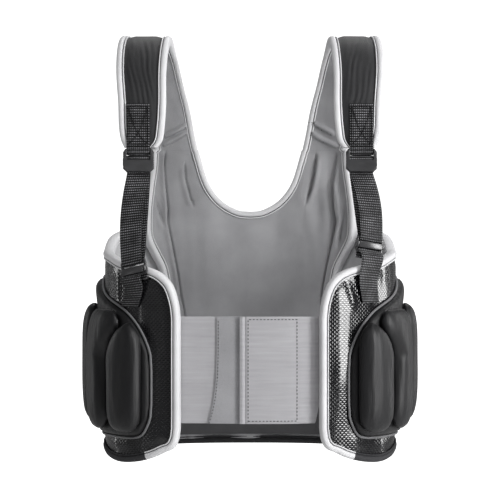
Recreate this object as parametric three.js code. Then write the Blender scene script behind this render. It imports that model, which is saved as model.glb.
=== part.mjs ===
// Rib protector worn as a padded vest, open at the neck and arms, closed by a wide elastic belt.
// Millimetres, +Z up, front towards -Y, +X to the right as seen from the front.
// The origin lies midway between the undersides of the two shoulder straps, at their highest points.
import * as THREE from "three";
import { mergeVertices } from "three/addons/utils/BufferGeometryUtils.js";

// Torso: the inner faces of the side panels in plan, a superellipse
const TORSO_WIDTH = 307;
const TORSO_DEPTH = 220;
const TORSO_SQUARENESS = 2.5;

// Clearance between pieces that are sewn or rest on each other
const GAP = 0.3;

// Folded edge binding, with its own clearance over the padded edge
const BINDING_GAP = 0.7;
const BINDING_WALL = 1.3;
const BINDING_WIDTH = 8.5;

// Padded back panel
const BACK_THICKNESS = 8;
const BACK_LENGTH = 453;
const BACK_HALF_WIDTH = 118;
const NECK_DROP = 186;
const SEAM_DROP = 113;
const HEM_BAND_HEIGHT = 32;
const HEM_BAND_THICKNESS = 1.2;

// Padded shoulder straps
const STRAP_THICKNESS = 8;
const STRAP_ARCH_HEIGHT = 95;
const STRAP_FRONT_REACH = 98;
const STRAP_FRONT_DROP = 120;
const STRAP_CENTRE_SPREAD = 230;
const STRAP_WIDTH = 56;

// Glossy side panels
const SIDE_THICKNESS = 8;
const SIDE_HEIGHT = 260;
const SIDE_LENGTH = 269;
const SIDE_FRONT_GAP = 76;
const SIDE_BELOW_HEM = 3;

// Foam panel on each side panel, its piping and the raised rib pads
const PAD_PANEL_THICKNESS = 8;
const PAD_PANEL_HEIGHT = 169;
const PAD_PANEL_LENGTH = 168;
const PAD_PANEL_START = 29;
const PAD_PANEL_LOWEST = 27;
const PIPING_RADIUS = 1.5;
const RIB_PAD_HEIGHT = 16;
const RIB_PAD_WIDTH = 37;
const RIB_PAD_LENGTH = 120;
const RIB_PAD_PITCH = 40;
const RIB_PAD_LOWEST = 31;
const RIB_PAD_START = 52;

// Belt: a left elastic with a loop patch on it, and a right elastic whose flap closes over it
const BELT_HEIGHT = 114;
const BELT_ABOVE_HEM = 39;
const BELT_THICKNESS = 1.8;
const PATCH_THICKNESS = 1;
const FLAP_THICKNESS = 1.2;
const PATCH_LEFT = -46;
const PATCH_LENGTH = 82;
const PATCH_CURVE = 10;
const FLAP_LEFT = -11;
const FLAP_LENGTH = 64;
const BELT_SEWN_UNDER = 22;
const BELT_END_SETBACK = 10;
const BELT_END_BULGE = 12;
const BELT_END_SLANT = 4;

// Webbing and buckles
const WEBBING_WIDTH = 25;
const WEBBING_THICKNESS = 1.5;
const BUCKLE_WIDTH = 33;
const BUCKLE_HEIGHT = 25;
const BUCKLE_THICKNESS = 4;
const BUCKLE_BAR = 3.6;
const SLIDE_WIDTH = 31;
const SLIDE_HEIGHT = 16;
const SLIDE_THICKNESS = 3;
const SLIDE_BAR = 2.8;
const BUCKLE_CORNER = 4;
const BUCKLE_CLEARANCE = 1.2;
const BUCKLE_SHIFT = 2.6;
const SLOT_PLAY = 1.5;
const FRONT_LAYER_BOW = 4;
const TAB_TAIL = 8;
const TAB_DRIFT = 6;
const TAB_ABOVE_PIPING = 12;
const TAB_CLEARANCE = 3;
const SLIDE_RISE = 219.8;
const SLIDE_SPREAD = 121.5;

// Each side's strapping, in shares of the lower buckles' rise over the waist and spread: the left
// one hangs lower.
// tilt: degrees by which its outer end dips
const SIDES = [
  { name: "left", side: -1, rise: 0.945, spread: 0.983, tilt: 12 },
  { name: "right", side: 1, rise: 1.055, spread: 1.017, tilt: 9 },
];

// Back panel's side edge: share of its length downwards, share of its half width
const BACK_SIDE_EDGE = [
  { down: 0.0, out: 0.946 },
  { down: 0.05, out: 0.949 },
  { down: 0.135, out: 0.979 },
  { down: 0.22, out: 1.0 },
  { down: 0.297, out: 0.991 },
  { down: 0.355, out: 0.924 },
  { down: 0.408, out: 0.856 },
  { down: 0.5, out: 0.815 },
  { down: 0.65, out: 0.795 },
  { down: 1.0, out: 0.78 },
];

// Neck edge of the back panel: share of its half width, share of the way up to the strap seam
const NECK_EDGE = [
  { across: 0.0, up: 0.0 },
  { across: 0.1, up: 0.014 },
  { across: 0.185, up: 0.067 },
  { across: 0.26, up: 0.137 },
  { across: 0.328, up: 0.23 },
  { across: 0.395, up: 0.36 },
  { across: 0.45, up: 0.51 },
  { across: 0.502, up: 0.72 },
  { across: 0.556, up: 1.0 },
];
const PANEL_TOP_SHARES = [0.63, 0.73, 0.8, 0.87, 0.94, 1];

// Upright creases of the lining: share of the half width, depth and half width of the groove
const BACK_CREASES = [
  { across: 0.8, depth: 2.2, reach: 5 },
  { across: 0.62, depth: 1.2, reach: 5 },
];

// Strap stations from the front end, over the shoulder, to the seam at the back.
// turn: degrees round the arch, below: share of the straight run under the arch,
// neck and arm: each edge's distance from the strap's centre, as a share of its width, drift: shift inwards
const STRAP_STATIONS = [
  { turn: 0, below: 1.0, neck: 0.3, arm: 0.26, drift: -0.04 },
  { turn: 0, below: 0.7, neck: 0.39, arm: 0.32, drift: -0.04 },
  { turn: 0, below: 0.2, neck: 0.43, arm: 0.36, drift: -0.04 },
  { turn: 12, below: 0, neck: 0.46, arm: 0.38, drift: -0.04 },
  { turn: 35, below: 0, neck: 0.46, arm: 0.43, drift: -0.05 },
  { turn: 62, below: 0, neck: 0.47, arm: 0.45, drift: -0.04 },
  { turn: 90, below: 0, neck: 0.46, arm: 0.44, drift: 0 },
  { turn: 118, below: 0, neck: 0.44, arm: 0.44, drift: 0.1 },
  { turn: 143, below: 0, neck: 0.42, arm: 0.43, drift: 0.22 },
  { turn: 163, below: 0, neck: 0.41, arm: 0.42, drift: 0.36 },
  { turn: 180, below: 0, neck: 0.41, arm: 0.42, drift: 0.45 },
  { turn: 180, below: 1.0, neck: 0.4, arm: 0.42, drift: 0.53 },
];

// Side panel's outline: share of its length from the front edge, shares of its height at the top and foot
const SIDE_OUTLINE = [
  { along: 0.0, top: 0.593, foot: 0.144 },
  { along: 0.005, top: 0.643, foot: 0.103 },
  { along: 0.013, top: 0.677, foot: 0.082 },
  { along: 0.031, top: 0.726, foot: 0.061 },
  { along: 0.06, top: 0.76, foot: 0.049 },
  { along: 0.098, top: 0.783, foot: 0.03 },
  { along: 0.171, top: 0.802, foot: 0.008 },
  { along: 0.255, top: 0.817, foot: 0.0 },
  { along: 0.345, top: 0.844, foot: 0.011 },
  { along: 0.444, top: 0.861, foot: 0.034 },
  { along: 0.535, top: 0.875, foot: 0.042 },
  { along: 0.636, top: 0.922, foot: 0.042 },
  { along: 0.749, top: 0.954, foot: 0.034 },
  { along: 0.855, top: 0.981, foot: 0.023 },
  { along: 1.0, top: 1.0, foot: 0.015 },
];

// Pad panel's outline, in shares of its own length and height
const PAD_OUTLINE = [
  { along: 0.0, top: 0.42, foot: 0.22 },
  { along: 0.006, top: 0.52, foot: 0.13 },
  { along: 0.028, top: 0.585, foot: 0.07 },
  { along: 0.06, top: 0.65, foot: 0.02 },
  { along: 0.11, top: 0.72, foot: 0.004 },
  { along: 0.175, top: 0.78, foot: 0.0 },
  { along: 0.25, top: 0.82, foot: 0.0 },
  { along: 0.355, top: 0.86, foot: 0.0 },
  { along: 0.47, top: 0.905, foot: 0.0 },
  { along: 0.6, top: 0.965, foot: 0.0 },
  { along: 0.73, top: 1.0, foot: 0.0 },
  { along: 0.86, top: 1.0, foot: 0.005 },
  { along: 0.94, top: 0.965, foot: 0.03 },
  { along: 0.985, top: 0.89, foot: 0.09 },
  { along: 1.0, top: 0.75, foot: 0.22 },
];

// Raised rib pads of one side: place in pitches behind the first, shares of the width and height,
// and how much further the top and the foot end lie upwards
const RIB_PADS = [
  { name: "front", place: 0, width: 1.0, height: 1.0, lift: 0, foot: 0 },
  { name: "side", place: 1, width: 0.92, height: 0.9, lift: 14, foot: 1 },
  { name: "rear", place: 2, width: 1.0, height: 1.0, lift: 18, foot: 6 },
];

const halfWidth = TORSO_WIDTH / 2;
const halfDepth = TORSO_DEPTH / 2;
const bindingProud = BINDING_GAP + BINDING_WALL;
const backSetback = 2 * bindingProud + GAP;
const waistZ = -BACK_LENGTH - SIDE_BELOW_HEM;

// Torso in plan, from the front centre round the right side to the back centre
class TorsoPlan extends THREE.Curve {
  constructor() {
    super();
    this.arcLengthDivisions = 720;
  }

  getPoint(t, target = new THREE.Vector3()) {
    const turn = Math.PI * t;
    const side = Math.abs(Math.sin(turn) / halfWidth) ** TORSO_SQUARENESS;
    const front = Math.abs(Math.cos(turn) / halfDepth) ** TORSO_SQUARENESS;
    const reach = (side + front) ** (-1 / TORSO_SQUARENESS);
    return target.set(reach * Math.sin(turn), -reach * Math.cos(turn), 0);
  }
}

const sidePlan = new TorsoPlan();
const sidePlanLength = sidePlan.getLength();

// A place on the torso, "along" millimetres round from the front centre: its point and outward normal
function onTorso(along, z) {
  const share = THREE.MathUtils.clamp(Math.abs(along) / sidePlanLength, 0, 1);
  const at = sidePlan.getPointAt(share);
  const tangent = sidePlan.getTangentAt(share);
  const out = new THREE.Vector3(tangent.y, -tangent.x, 0);
  if (along < 0) {
    at.x = -at.x;
    out.x = -out.x;
  }
  at.z = z;
  return { at, out };
}

// A place on the inner face of the back panel, at the sideways distance x
function onBack(x, z) {
  const wide = halfWidth - backSetback - BACK_THICKNESS;
  const deep = halfDepth - backSetback - BACK_THICKNESS;
  const share = Math.min(Math.abs(x) / wide, 0.999);
  const rest = 1 - share ** TORSO_SQUARENESS;
  const y = deep * rest ** (1 / TORSO_SQUARENESS);
  const slopeX = (Math.sign(x) * share ** (TORSO_SQUARENESS - 1)) / wide;
  const slopeY = (y / deep) ** (TORSO_SQUARENESS - 1) / deep;
  return { at: new THREE.Vector3(x, y, z), out: new THREE.Vector3(slopeX, slopeY, 0).normalize() };
}

function pointOut(place, distance) {
  return place.at.clone().addScaledVector(place.out, distance);
}

// Reads a table between its rows: the value of one column where another has the given value
function between(rows, key, value, column) {
  const next = rows.findIndex((row) => row[key] >= value);
  if (next === -1) return rows.at(-1)[column];
  if (next === 0) return rows[0][column];
  const low = rows[next - 1];
  const high = rows[next];
  const share = (value - low[key]) / (high[key] - low[key]);
  return THREE.MathUtils.lerp(low[column], high[column], share);
}

function signedVolume(geometry) {
  const { position } = geometry.attributes;
  const corners = [0, 1, 2].map(() => new THREE.Vector3());
  let sum = 0;
  for (let i = 0; i < geometry.index.count; i += 3) {
    corners.forEach((corner, k) => corner.fromBufferAttribute(position, geometry.index.getX(i + k)));
    sum += corners[0].dot(corners[1].clone().cross(corners[2]));
  }
  return sum;
}

// Joins the shared corners of a geometry and turns its faces outwards
function closed(geometry) {
  geometry.deleteAttribute("normal");
  geometry.deleteAttribute("uv");
  const merged = mergeVertices(geometry, 1e-4);
  if (signedVolume(merged) < 0) {
    const { index } = merged;
    for (let i = 0; i < index.count; i += 3) {
      const swap = index.getX(i + 1);
      index.setX(i + 1, index.getX(i + 2));
      index.setX(i + 2, swap);
    }
  }
  merged.computeVertexNormals();
  return merged;
}

// A curved slab: "place" turns shares of its length, width and thickness into a point
function slab(columns, rows, place) {
  const geometry = new THREE.BoxGeometry(1, 1, 1, columns, rows, 1);
  const { position } = geometry.attributes;
  for (let i = 0; i < position.count; i += 1) {
    const point = place(position.getX(i) + 0.5, position.getY(i) + 0.5, position.getZ(i) + 0.5);
    position.setXYZ(i, point.x, point.y, point.z);
  }
  return closed(geometry);
}

// A section drawn across and out, carried through a row of frames. A loop joins its last frame to its first.
function carried(section, frames, isLoop = false) {
  const stops = isLoop ? [...frames, frames[0]] : frames;
  const steps = stops.length - 1;
  const geometry = new THREE.ExtrudeGeometry(section, { depth: 1, steps, bevelEnabled: false });
  const { position } = geometry.attributes;
  for (let i = 0; i < position.count; i += 1) {
    const frame = stops[Math.round(position.getZ(i) * steps)];
    const point = frame.at.clone();
    point.addScaledVector(frame.across, position.getX(i));
    point.addScaledVector(frame.out, position.getY(i));
    position.setXYZ(i, point.x, point.y, point.z);
  }
  if (!isLoop) return closed(geometry);
  const walls = geometry.groups[1];
  const loop = new THREE.BufferGeometry();
  const kept = position.array.slice(walls.start * 3, (walls.start + walls.count) * 3);
  loop.setAttribute("position", new THREE.BufferAttribute(kept, 3));
  return closed(loop);
}

// Frames along an edge: across points into the piece, on the left of the walk or the right
function edgeFrames(places, hand, isLoop = false) {
  const count = places.length;
  return places.map((place, i) => {
    if (place.across) return place;
    const before = isLoop ? places[(i + count - 1) % count] : places[Math.max(i - 1, 0)];
    const after = isLoop ? places[(i + 1) % count] : places[Math.min(i + 1, count - 1)];
    const tangent = after.at.clone().sub(before.at).normalize();
    const across = place.out.clone().cross(tangent).multiplyScalar(hand).normalize();
    return { at: place.at, across, out: place.out };
  });
}

// Longest step of the columns that follow the torso's curve
const COLUMN_LIMIT = 11;

// Refines a table's rows along a smooth curve, each step at most "limit" in the first column times "length"
function refined(rows, keys, length, limit) {
  const points = rows.map((row) => new THREE.Vector3(...keys.map((key) => row[key])));
  const curve = new THREE.CatmullRomCurve3(points);
  curve.curveType = "centripetal";
  const fine = [];
  for (let i = 0; i < rows.length - 1; i += 1) {
    const span = (rows[i + 1][keys[0]] - rows[i][keys[0]]) * length;
    const steps = Math.max(1, Math.ceil(span / limit));
    for (let k = 0; k < steps; k += 1) fine.push(curve.getPoint((i + k / steps) / (rows.length - 1)));
  }
  fine.push(curve.getPoint(1));
  return fine.map((point) => ({ [keys[0]]: point.x, [keys[1]]: point.y, [keys[2]]: point.z }));
}

// Folded binding round an edge of the given thickness, as an open C
function bindingSection(thickness) {
  const inside = -BINDING_GAP;
  const outside = -BINDING_GAP - BINDING_WALL;
  const reach = BINDING_WIDTH + outside;
  const shape = new THREE.Shape();
  shape.moveTo(reach, outside);
  shape.lineTo(reach, inside);
  shape.lineTo(inside, inside);
  shape.lineTo(inside, thickness - inside);
  shape.lineTo(reach, thickness - inside);
  shape.lineTo(reach, thickness - outside);
  shape.lineTo(outside, thickness - outside);
  shape.lineTo(outside, outside);
  return shape;
}

function rectangle(width, thickness) {
  const shape = new THREE.Shape();
  shape.moveTo(-width / 2, -thickness / 2);
  shape.lineTo(width / 2, -thickness / 2);
  shape.lineTo(width / 2, thickness / 2);
  shape.lineTo(-width / 2, thickness / 2);
  return shape;
}

const materials = {
  blackFabric: new THREE.MeshStandardMaterial({ color: 0x2b2b2d, roughness: 0.85, metalness: 0 }),
  lining: new THREE.MeshStandardMaterial({ color: 0x8c8b8d, roughness: 0.9, metalness: 0 }),
  binding: new THREE.MeshStandardMaterial({ color: 0xd2d2d3, roughness: 0.75, metalness: 0 }),
  darkBinding: new THREE.MeshStandardMaterial({ color: 0x3a3a3c, roughness: 0.8, metalness: 0 }),
  carbonVinyl: new THREE.MeshStandardMaterial({ color: 0x161617, roughness: 0.25, metalness: 0 }),
  foam: new THREE.MeshStandardMaterial({ color: 0x1c1c1d, roughness: 0.8, metalness: 0 }),
  piping: new THREE.MeshStandardMaterial({ color: 0x6d6d6f, roughness: 0.7, metalness: 0 }),
  elastic: new THREE.MeshStandardMaterial({ color: 0xb9b8ba, roughness: 0.85, metalness: 0 }),
  loopFelt: new THREE.MeshStandardMaterial({ color: 0xa3a3a5, roughness: 0.95, metalness: 0 }),
  webbing: new THREE.MeshStandardMaterial({ color: 0x29292b, roughness: 0.7, metalness: 0 }),
  buckle: new THREE.MeshStandardMaterial({ color: 0x1b1b1c, roughness: 0.4, metalness: 0 }),
};

const ribProtector = new THREE.Group();

function add(name, geometry, material) {
  const mesh = new THREE.Mesh(geometry, material);
  mesh.name = name;
  ribProtector.add(mesh);
}

// Back panel

const panelFoot = -BACK_LENGTH;
const neckLowZ = -NECK_DROP;
const seamZ = -SEAM_DROP;
const neckShares = [...NECK_EDGE.map((row) => row.across), ...PANEL_TOP_SHARES];
const panelShares = [...neckShares.slice(1).map((share) => -share).reverse(), ...neckShares];

function panelHalfWidth(z) {
  const down = (seamZ - z) / (BACK_LENGTH - SEAM_DROP);
  return BACK_HALF_WIDTH * between(BACK_SIDE_EDGE, "down", down, "out");
}

function panelTop(share) {
  return THREE.MathUtils.lerp(neckLowZ, seamZ, between(NECK_EDGE, "across", Math.abs(share), "up"));
}

function creaseDepth(share) {
  return BACK_CREASES.reduce((sum, crease) => {
    const distance = (Math.abs(share) - crease.across) * BACK_HALF_WIDTH;
    return sum + crease.depth * Math.exp(-((distance / crease.reach) ** 2));
  }, 0);
}

function onPanel(share, z) {
  return onBack(share * panelHalfWidth(z), z);
}

function backPanel() {
  const columns = panelShares.length - 1;
  const rows = BACK_SIDE_EDGE.length - 1;
  return slab(columns, rows, (u, v, w) => {
    const share = panelShares[Math.round(u * columns)];
    const { down } = BACK_SIDE_EDGE[Math.round((1 - v) * rows)];
    const z = THREE.MathUtils.lerp(panelTop(share), panelFoot, down);
    const inner = creaseDepth(share) * Math.sin(Math.PI * v);
    return pointOut(onPanel(share, z), THREE.MathUtils.lerp(inner, BACK_THICKNESS, w));
  });
}

// Dark band sewn inside the hem of the back panel
function hemBand() {
  const inset = BINDING_WIDTH + GAP;
  return slab(24, 1, (u, v, w) => {
    const z = panelFoot + inset + v * HEM_BAND_HEIGHT;
    const x = (2 * u - 1) * (panelHalfWidth(z) - inset);
    return pointOut(onBack(x, z), -GAP - (1 - w) * HEM_BAND_THICKNESS);
  });
}

// Shoulder straps

function strapCurves() {
  const centre = STRAP_CENTRE_SPREAD / 2;
  const edges = { neck: [], arm: [] };
  const springZ = -STRAP_ARCH_HEIGHT;
  STRAP_STATIONS.forEach((station) => {
    const turn = THREE.MathUtils.degToRad(station.turn);
    const isBack = station.turn > 90;
    const straight = isBack ? SEAM_DROP - STRAP_ARCH_HEIGHT : STRAP_FRONT_DROP - STRAP_ARCH_HEIGHT;
    const z = springZ + STRAP_ARCH_HEIGHT * Math.sin(turn) - straight * station.below;
    for (const [edge, sign] of [["neck", -1], ["arm", 1]]) {
      const x = centre + (sign * station[edge] - station.drift) * STRAP_WIDTH;
      const reach = isBack ? onBack(x, z).at.y : STRAP_FRONT_REACH;
      edges[edge].push(new THREE.Vector3(x, -reach * Math.cos(turn), z));
    }
  });
  return {
    neck: new THREE.CatmullRomCurve3(edges.neck, false, "centripetal"),
    arm: new THREE.CatmullRomCurve3(edges.arm, false, "centripetal"),
  };
}

const strap = strapCurves();

// Over these shares of its length the strap takes up the back panel's curve
const STRAP_FIT_START = 0.6;
const STRAP_FIT_END = 0.88;
const TANGENT_STEP = 0.002;

// A place on the underside of a strap: t runs from the front end to the seam, w from neck to arm
function onStrap(side, t, w) {
  const ahead = Math.min(t + TANGENT_STEP, 1);
  const behind = Math.max(t - TANGENT_STEP, 0);
  const middle = (share) => strap.neck.getPoint(share).lerp(strap.arm.getPoint(share), 0.5);
  const tangent = middle(ahead).sub(middle(behind));
  const width = strap.arm.getPoint(t).sub(strap.neck.getPoint(t));
  const out = width.clone().cross(tangent).normalize();
  const at = strap.neck.getPoint(t).lerp(strap.arm.getPoint(t), w);
  const panel = onBack(at.x, at.z);
  const fit = THREE.MathUtils.smoothstep(t, STRAP_FIT_START, STRAP_FIT_END);
  at.lerp(panel.at, fit);
  out.lerp(panel.out, fit).normalize();
  const across = width.addScaledVector(out, -width.dot(out)).normalize().multiplyScalar(1 - 2 * w);
  for (const vector of [at, out, across]) vector.x *= side;
  return { at, out, across };
}

const strapSteps = 22;
const strapRows = [0, 0.17, 0.5, 0.83, 1];

function shoulderStrap(side) {
  const rows = strapRows.length - 1;
  return slab(strapSteps, rows, (u, v, w) => {
    return pointOut(onStrap(side, u * strapEnd, strapRows[Math.round(v * rows)]), w * STRAP_THICKNESS);
  });
}

// The strap stops a sewing clearance short of the panel's top edge
const strapEnd = 1 - GAP / (SEAM_DROP - STRAP_ARCH_HEIGHT) / (STRAP_STATIONS.length - 1);

function strapEdge(side, w) {
  const places = [];
  for (let i = 0; i <= strapSteps; i += 1) places.push(onStrap(side, (i / strapSteps) * strapEnd, w));
  return places;
}

// One binding runs from a strap's front end round the neck to the other strap's front end
function neckBinding() {
  const shares = NECK_EDGE.map((row) => row.across);
  const left = shares.slice(1).map((share) => -share).reverse();
  const neck = [...left, ...shares].map((share) => onPanel(share, panelTop(share)));
  const places = [...strapEdge(-1, 0), ...neck, ...strapEdge(1, 0).reverse()];
  return carried(bindingSection(STRAP_THICKNESS), edgeFrames(places, 1));
}

// The arm binding follows the strap's outer edge and the back panel's side down to the hem
function armBinding(side) {
  const panel = BACK_SIDE_EDGE.map((row) => {
    return onPanel(side, THREE.MathUtils.lerp(seamZ, panelFoot + bindingProud * row.down, row.down));
  });
  return carried(bindingSection(BACK_THICKNESS), edgeFrames([...strapEdge(side, 1), ...panel], side));
}

// The hem binding runs between the side bindings
const hemShare = 1 - (BINDING_WIDTH + GAP) / BACK_HALF_WIDTH;

function hemBinding() {
  const places = panelShares.map((share) => onPanel(share * hemShare, panelFoot));
  return carried(bindingSection(BACK_THICKNESS), edgeFrames(places, -1));
}

// Side panels

function sidePlace(side, share, height) {
  const along = SIDE_FRONT_GAP + share * SIDE_LENGTH;
  return onTorso(side * along, waistZ + height * SIDE_HEIGHT);
}

const sideRows = refined(SIDE_OUTLINE, ["along", "top", "foot"], SIDE_LENGTH, COLUMN_LIMIT);

function sidePanel(side) {
  const columns = sideRows.length - 1;
  return slab(columns, 1, (u, v, w) => {
    const row = sideRows[Math.round(u * columns)];
    const height = THREE.MathUtils.lerp(row.foot, row.top, v);
    return pointOut(sidePlace(side, row.along, height), w * SIDE_THICKNESS);
  });
}

function sideBinding(side) {
  const rim = sideRows.map((row) => sidePlace(side, row.along, row.top)).reverse();
  const foot = sideRows.map((row) => sidePlace(side, row.along, row.foot));
  return carried(bindingSection(SIDE_THICKNESS), edgeFrames([...rim, ...foot], side));
}

// Foam pad panel with piping round it

function padPlace(side, share, height) {
  const along = SIDE_FRONT_GAP + PAD_PANEL_START + share * PAD_PANEL_LENGTH;
  return onTorso(side * along, waistZ + PAD_PANEL_LOWEST + height * PAD_PANEL_HEIGHT);
}

const padRows = refined(PAD_OUTLINE, ["along", "top", "foot"], PAD_PANEL_LENGTH, COLUMN_LIMIT);

function padPanel(side) {
  const columns = padRows.length - 1;
  const base = SIDE_THICKNESS + GAP;
  return slab(columns, 1, (u, v, w) => {
    const row = padRows[Math.round(u * columns)];
    const height = THREE.MathUtils.lerp(row.foot, row.top, v);
    return pointOut(padPlace(side, row.along, height), base + w * PAD_PANEL_THICKNESS);
  });
}

function piping(side) {
  const out = SIDE_THICKNESS + GAP + PIPING_RADIUS;
  const across = -GAP - PIPING_RADIUS;
  const top = padRows.map((row) => padPlace(side, row.along, row.top)).reverse();
  const foot = padRows.map((row) => padPlace(side, row.along, row.foot));
  const section = new THREE.Shape();
  const corners = 6;
  for (let i = 0; i < corners; i += 1) {
    const turn = (2 * Math.PI * i) / corners;
    const x = across + PIPING_RADIUS * Math.cos(turn);
    const y = out + PIPING_RADIUS * Math.sin(turn);
    if (i === 0) section.moveTo(x, y);
    else section.lineTo(x, y);
  }
  return carried(section, edgeFrames([...top, ...foot], side, true), true);
}

// A rib pad: a dome with a flat back, its outline and its crown drawn in at the rounded ends
const PAD_END_SHARE = 0.12;
const PAD_END_SQUARENESS = 2.6;
const PAD_EDGE_SHARE = 0.2;
const PAD_CROWN_ACROSS = 3;
const PAD_CROWN_ALONG = 5;

function ribPad(side, pad) {
  const base = SIDE_THICKNESS + PAD_PANEL_THICKNESS + 3 * GAP;
  const centre = SIDE_FRONT_GAP + RIB_PAD_START + pad.place * RIB_PAD_PITCH;
  const half = (pad.width * RIB_PAD_WIDTH) / 2;
  const low = waistZ + RIB_PAD_LOWEST + pad.foot;
  const length = RIB_PAD_LENGTH + pad.lift - pad.foot;
  return slab(6, 8, (u, v, w) => {
    const across = Math.sin(Math.PI * (u - 0.5));
    const up = Math.sin(Math.PI * (v - 0.5));
    const end = (1 - Math.abs(up) ** PAD_END_SQUARENESS) ** (1 / PAD_END_SQUARENESS);
    const crown = ((1 - Math.abs(across) ** PAD_CROWN_ACROSS) * (1 - Math.abs(up) ** PAD_CROWN_ALONG)) ** 0.5;
    const along = centre + across * half * THREE.MathUtils.lerp(PAD_END_SHARE, 1, end);
    const raise = pad.height * RIB_PAD_HEIGHT * THREE.MathUtils.lerp(PAD_EDGE_SHARE, 1, crown);
    return pointOut(onTorso(side * along, low + (length * (1 + up)) / 2), base + w * raise);
  });
}

// Belt

const beltFoot = -BACK_LENGTH + BELT_ABOVE_HEM;
const flapInner = -bindingProud - GAP - FLAP_THICKNESS;
const rightBeltInner = flapInner - GAP - BELT_THICKNESS;
const patchInner = rightBeltInner - GAP - PATCH_THICKNESS;
const leftBeltInner = patchInner - GAP - BELT_THICKNESS;

function beltLayer(columns, rows, edges, inner, thickness) {
  return slab(columns, rows, (u, v, w) => {
    const { start, end } = edges(v);
    const place = onTorso(THREE.MathUtils.lerp(start, end, u), beltFoot + v * BELT_HEIGHT);
    return pointOut(place, inner(THREE.MathUtils.lerp(start, end, u)) + w * thickness);
  });
}

// The left elastic steps outwards where it is sewn under the side panel
function leftBelt() {
  const start = -SIDE_FRONT_GAP - BELT_SEWN_UNDER;
  const sewn = -bindingProud - GAP - BELT_THICKNESS;
  const inner = (along) => {
    const share = THREE.MathUtils.smoothstep(along, start + BINDING_WIDTH, PATCH_LEFT);
    return THREE.MathUtils.lerp(sewn, leftBeltInner, share);
  };
  return beltLayer(14, 1, () => ({ start, end: PATCH_LEFT + PATCH_LENGTH }), inner, BELT_THICKNESS);
}

function loopPatch() {
  const edges = (v) => ({
    start: PATCH_LEFT + PATCH_CURVE * Math.sin((Math.PI * v) / 2),
    end: PATCH_LEFT + PATCH_LENGTH,
  });
  return beltLayer(8, 4, edges, () => patchInner, PATCH_THICKNESS);
}

// The right elastic ends in a curve that is sewn under the side panel at mid height
function rightBelt() {
  const edges = (v) => {
    const bulge = BELT_END_BULGE * (1 - (2 * v - 1) ** 2);
    return { start: FLAP_LEFT, end: SIDE_FRONT_GAP - BELT_END_SETBACK + bulge + BELT_END_SLANT * v };
  };
  return beltLayer(10, 6, edges, () => rightBeltInner, BELT_THICKNESS);
}

function flap() {
  const edges = () => ({ start: FLAP_LEFT, end: FLAP_LEFT + FLAP_LENGTH });
  return beltLayer(6, 1, edges, () => flapInner, FLAP_THICKNESS);
}

// Webbing and buckles

// Frames of a strap of webbing through points, each with its face's turn about the upright and its roll
function webbingFrames(stops, isLoop = false) {
  const count = stops.length;
  return stops.map((stop, i) => {
    const before = isLoop ? stops[(i + count - 1) % count] : stops[Math.max(i - 1, 0)];
    const after = isLoop ? stops[(i + 1) % count] : stops[Math.min(i + 1, count - 1)];
    const tangent = after.at.clone().sub(before.at).normalize();
    const level = Math.cos(stop.roll);
    const across = new THREE.Vector3(Math.cos(stop.turn), Math.sin(stop.turn), 0);
    across.multiplyScalar(level).setZ(Math.sin(stop.roll));
    return { at: stop.at, across, out: across.clone().cross(tangent).normalize() };
  });
}

const webbingSection = rectangle(WEBBING_WIDTH, WEBBING_THICKNESS);
const strapFoot = strap.neck.getPoint(0).lerp(strap.arm.getPoint(0), 0.5);
const webbingX = strapFoot.x + BUCKLE_SHIFT;
const proudWebbing = bindingProud + GAP + WEBBING_THICKNESS / 2;
const buckleY = strapFoot.y - STRAP_THICKNESS / 2;
const buckleZ = strapFoot.z - BUCKLE_HEIGHT / 2 - BUCKLE_CLEARANCE;
const topBarZ = buckleZ + BUCKLE_HEIGHT / 2 - BUCKLE_BAR / 2;

// Distance from a bar's middle to the middle of webbing folded round it
function foldReach(bar, thickness) {
  return Math.hypot(bar, thickness) / 2 + 2 * GAP + WEBBING_THICKNESS / 2;
}

// Stops of the webbing along the strap, in shares of its length: outside it, then tucked under it
const PATCH_WEBBING_STOPS = [0.27, 0.22, 0.17, 0.12, 0.075, 0.035, 0];
const TUCKED_WEBBING_STOPS = [0, 0.03, 0.06];

// Sewn to the strap's outer face, this webbing passes round the buckle's top bar and back under the strap
function patchWebbing(side) {
  const x = side * webbingX;
  const fold = foldReach(BUCKLE_BAR, BUCKLE_THICKNESS);
  const points = PATCH_WEBBING_STOPS.map((t) => {
    return pointOut(onStrap(side, t, 0.5), STRAP_THICKNESS + proudWebbing).setX(x);
  });
  for (let i = 0; i <= 4; i += 1) {
    const turn = (Math.PI * i) / 4;
    points.push(new THREE.Vector3(x, buckleY - fold * Math.cos(turn), topBarZ - fold * Math.sin(turn)));
  }
  for (const t of TUCKED_WEBBING_STOPS) points.push(pointOut(onStrap(side, t, 0.5), -proudWebbing).setX(x));
  return carried(webbingSection, webbingFrames(points.map((at) => ({ at, turn: 0, roll: 0 }))));
}

function slot(width, height, z) {
  const hole = new THREE.Path();
  hole.moveTo(-width / 2, z - height / 2);
  hole.lineTo(width / 2, z - height / 2);
  hole.lineTo(width / 2, z + height / 2);
  hole.lineTo(-width / 2, z + height / 2);
  return hole;
}

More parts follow.
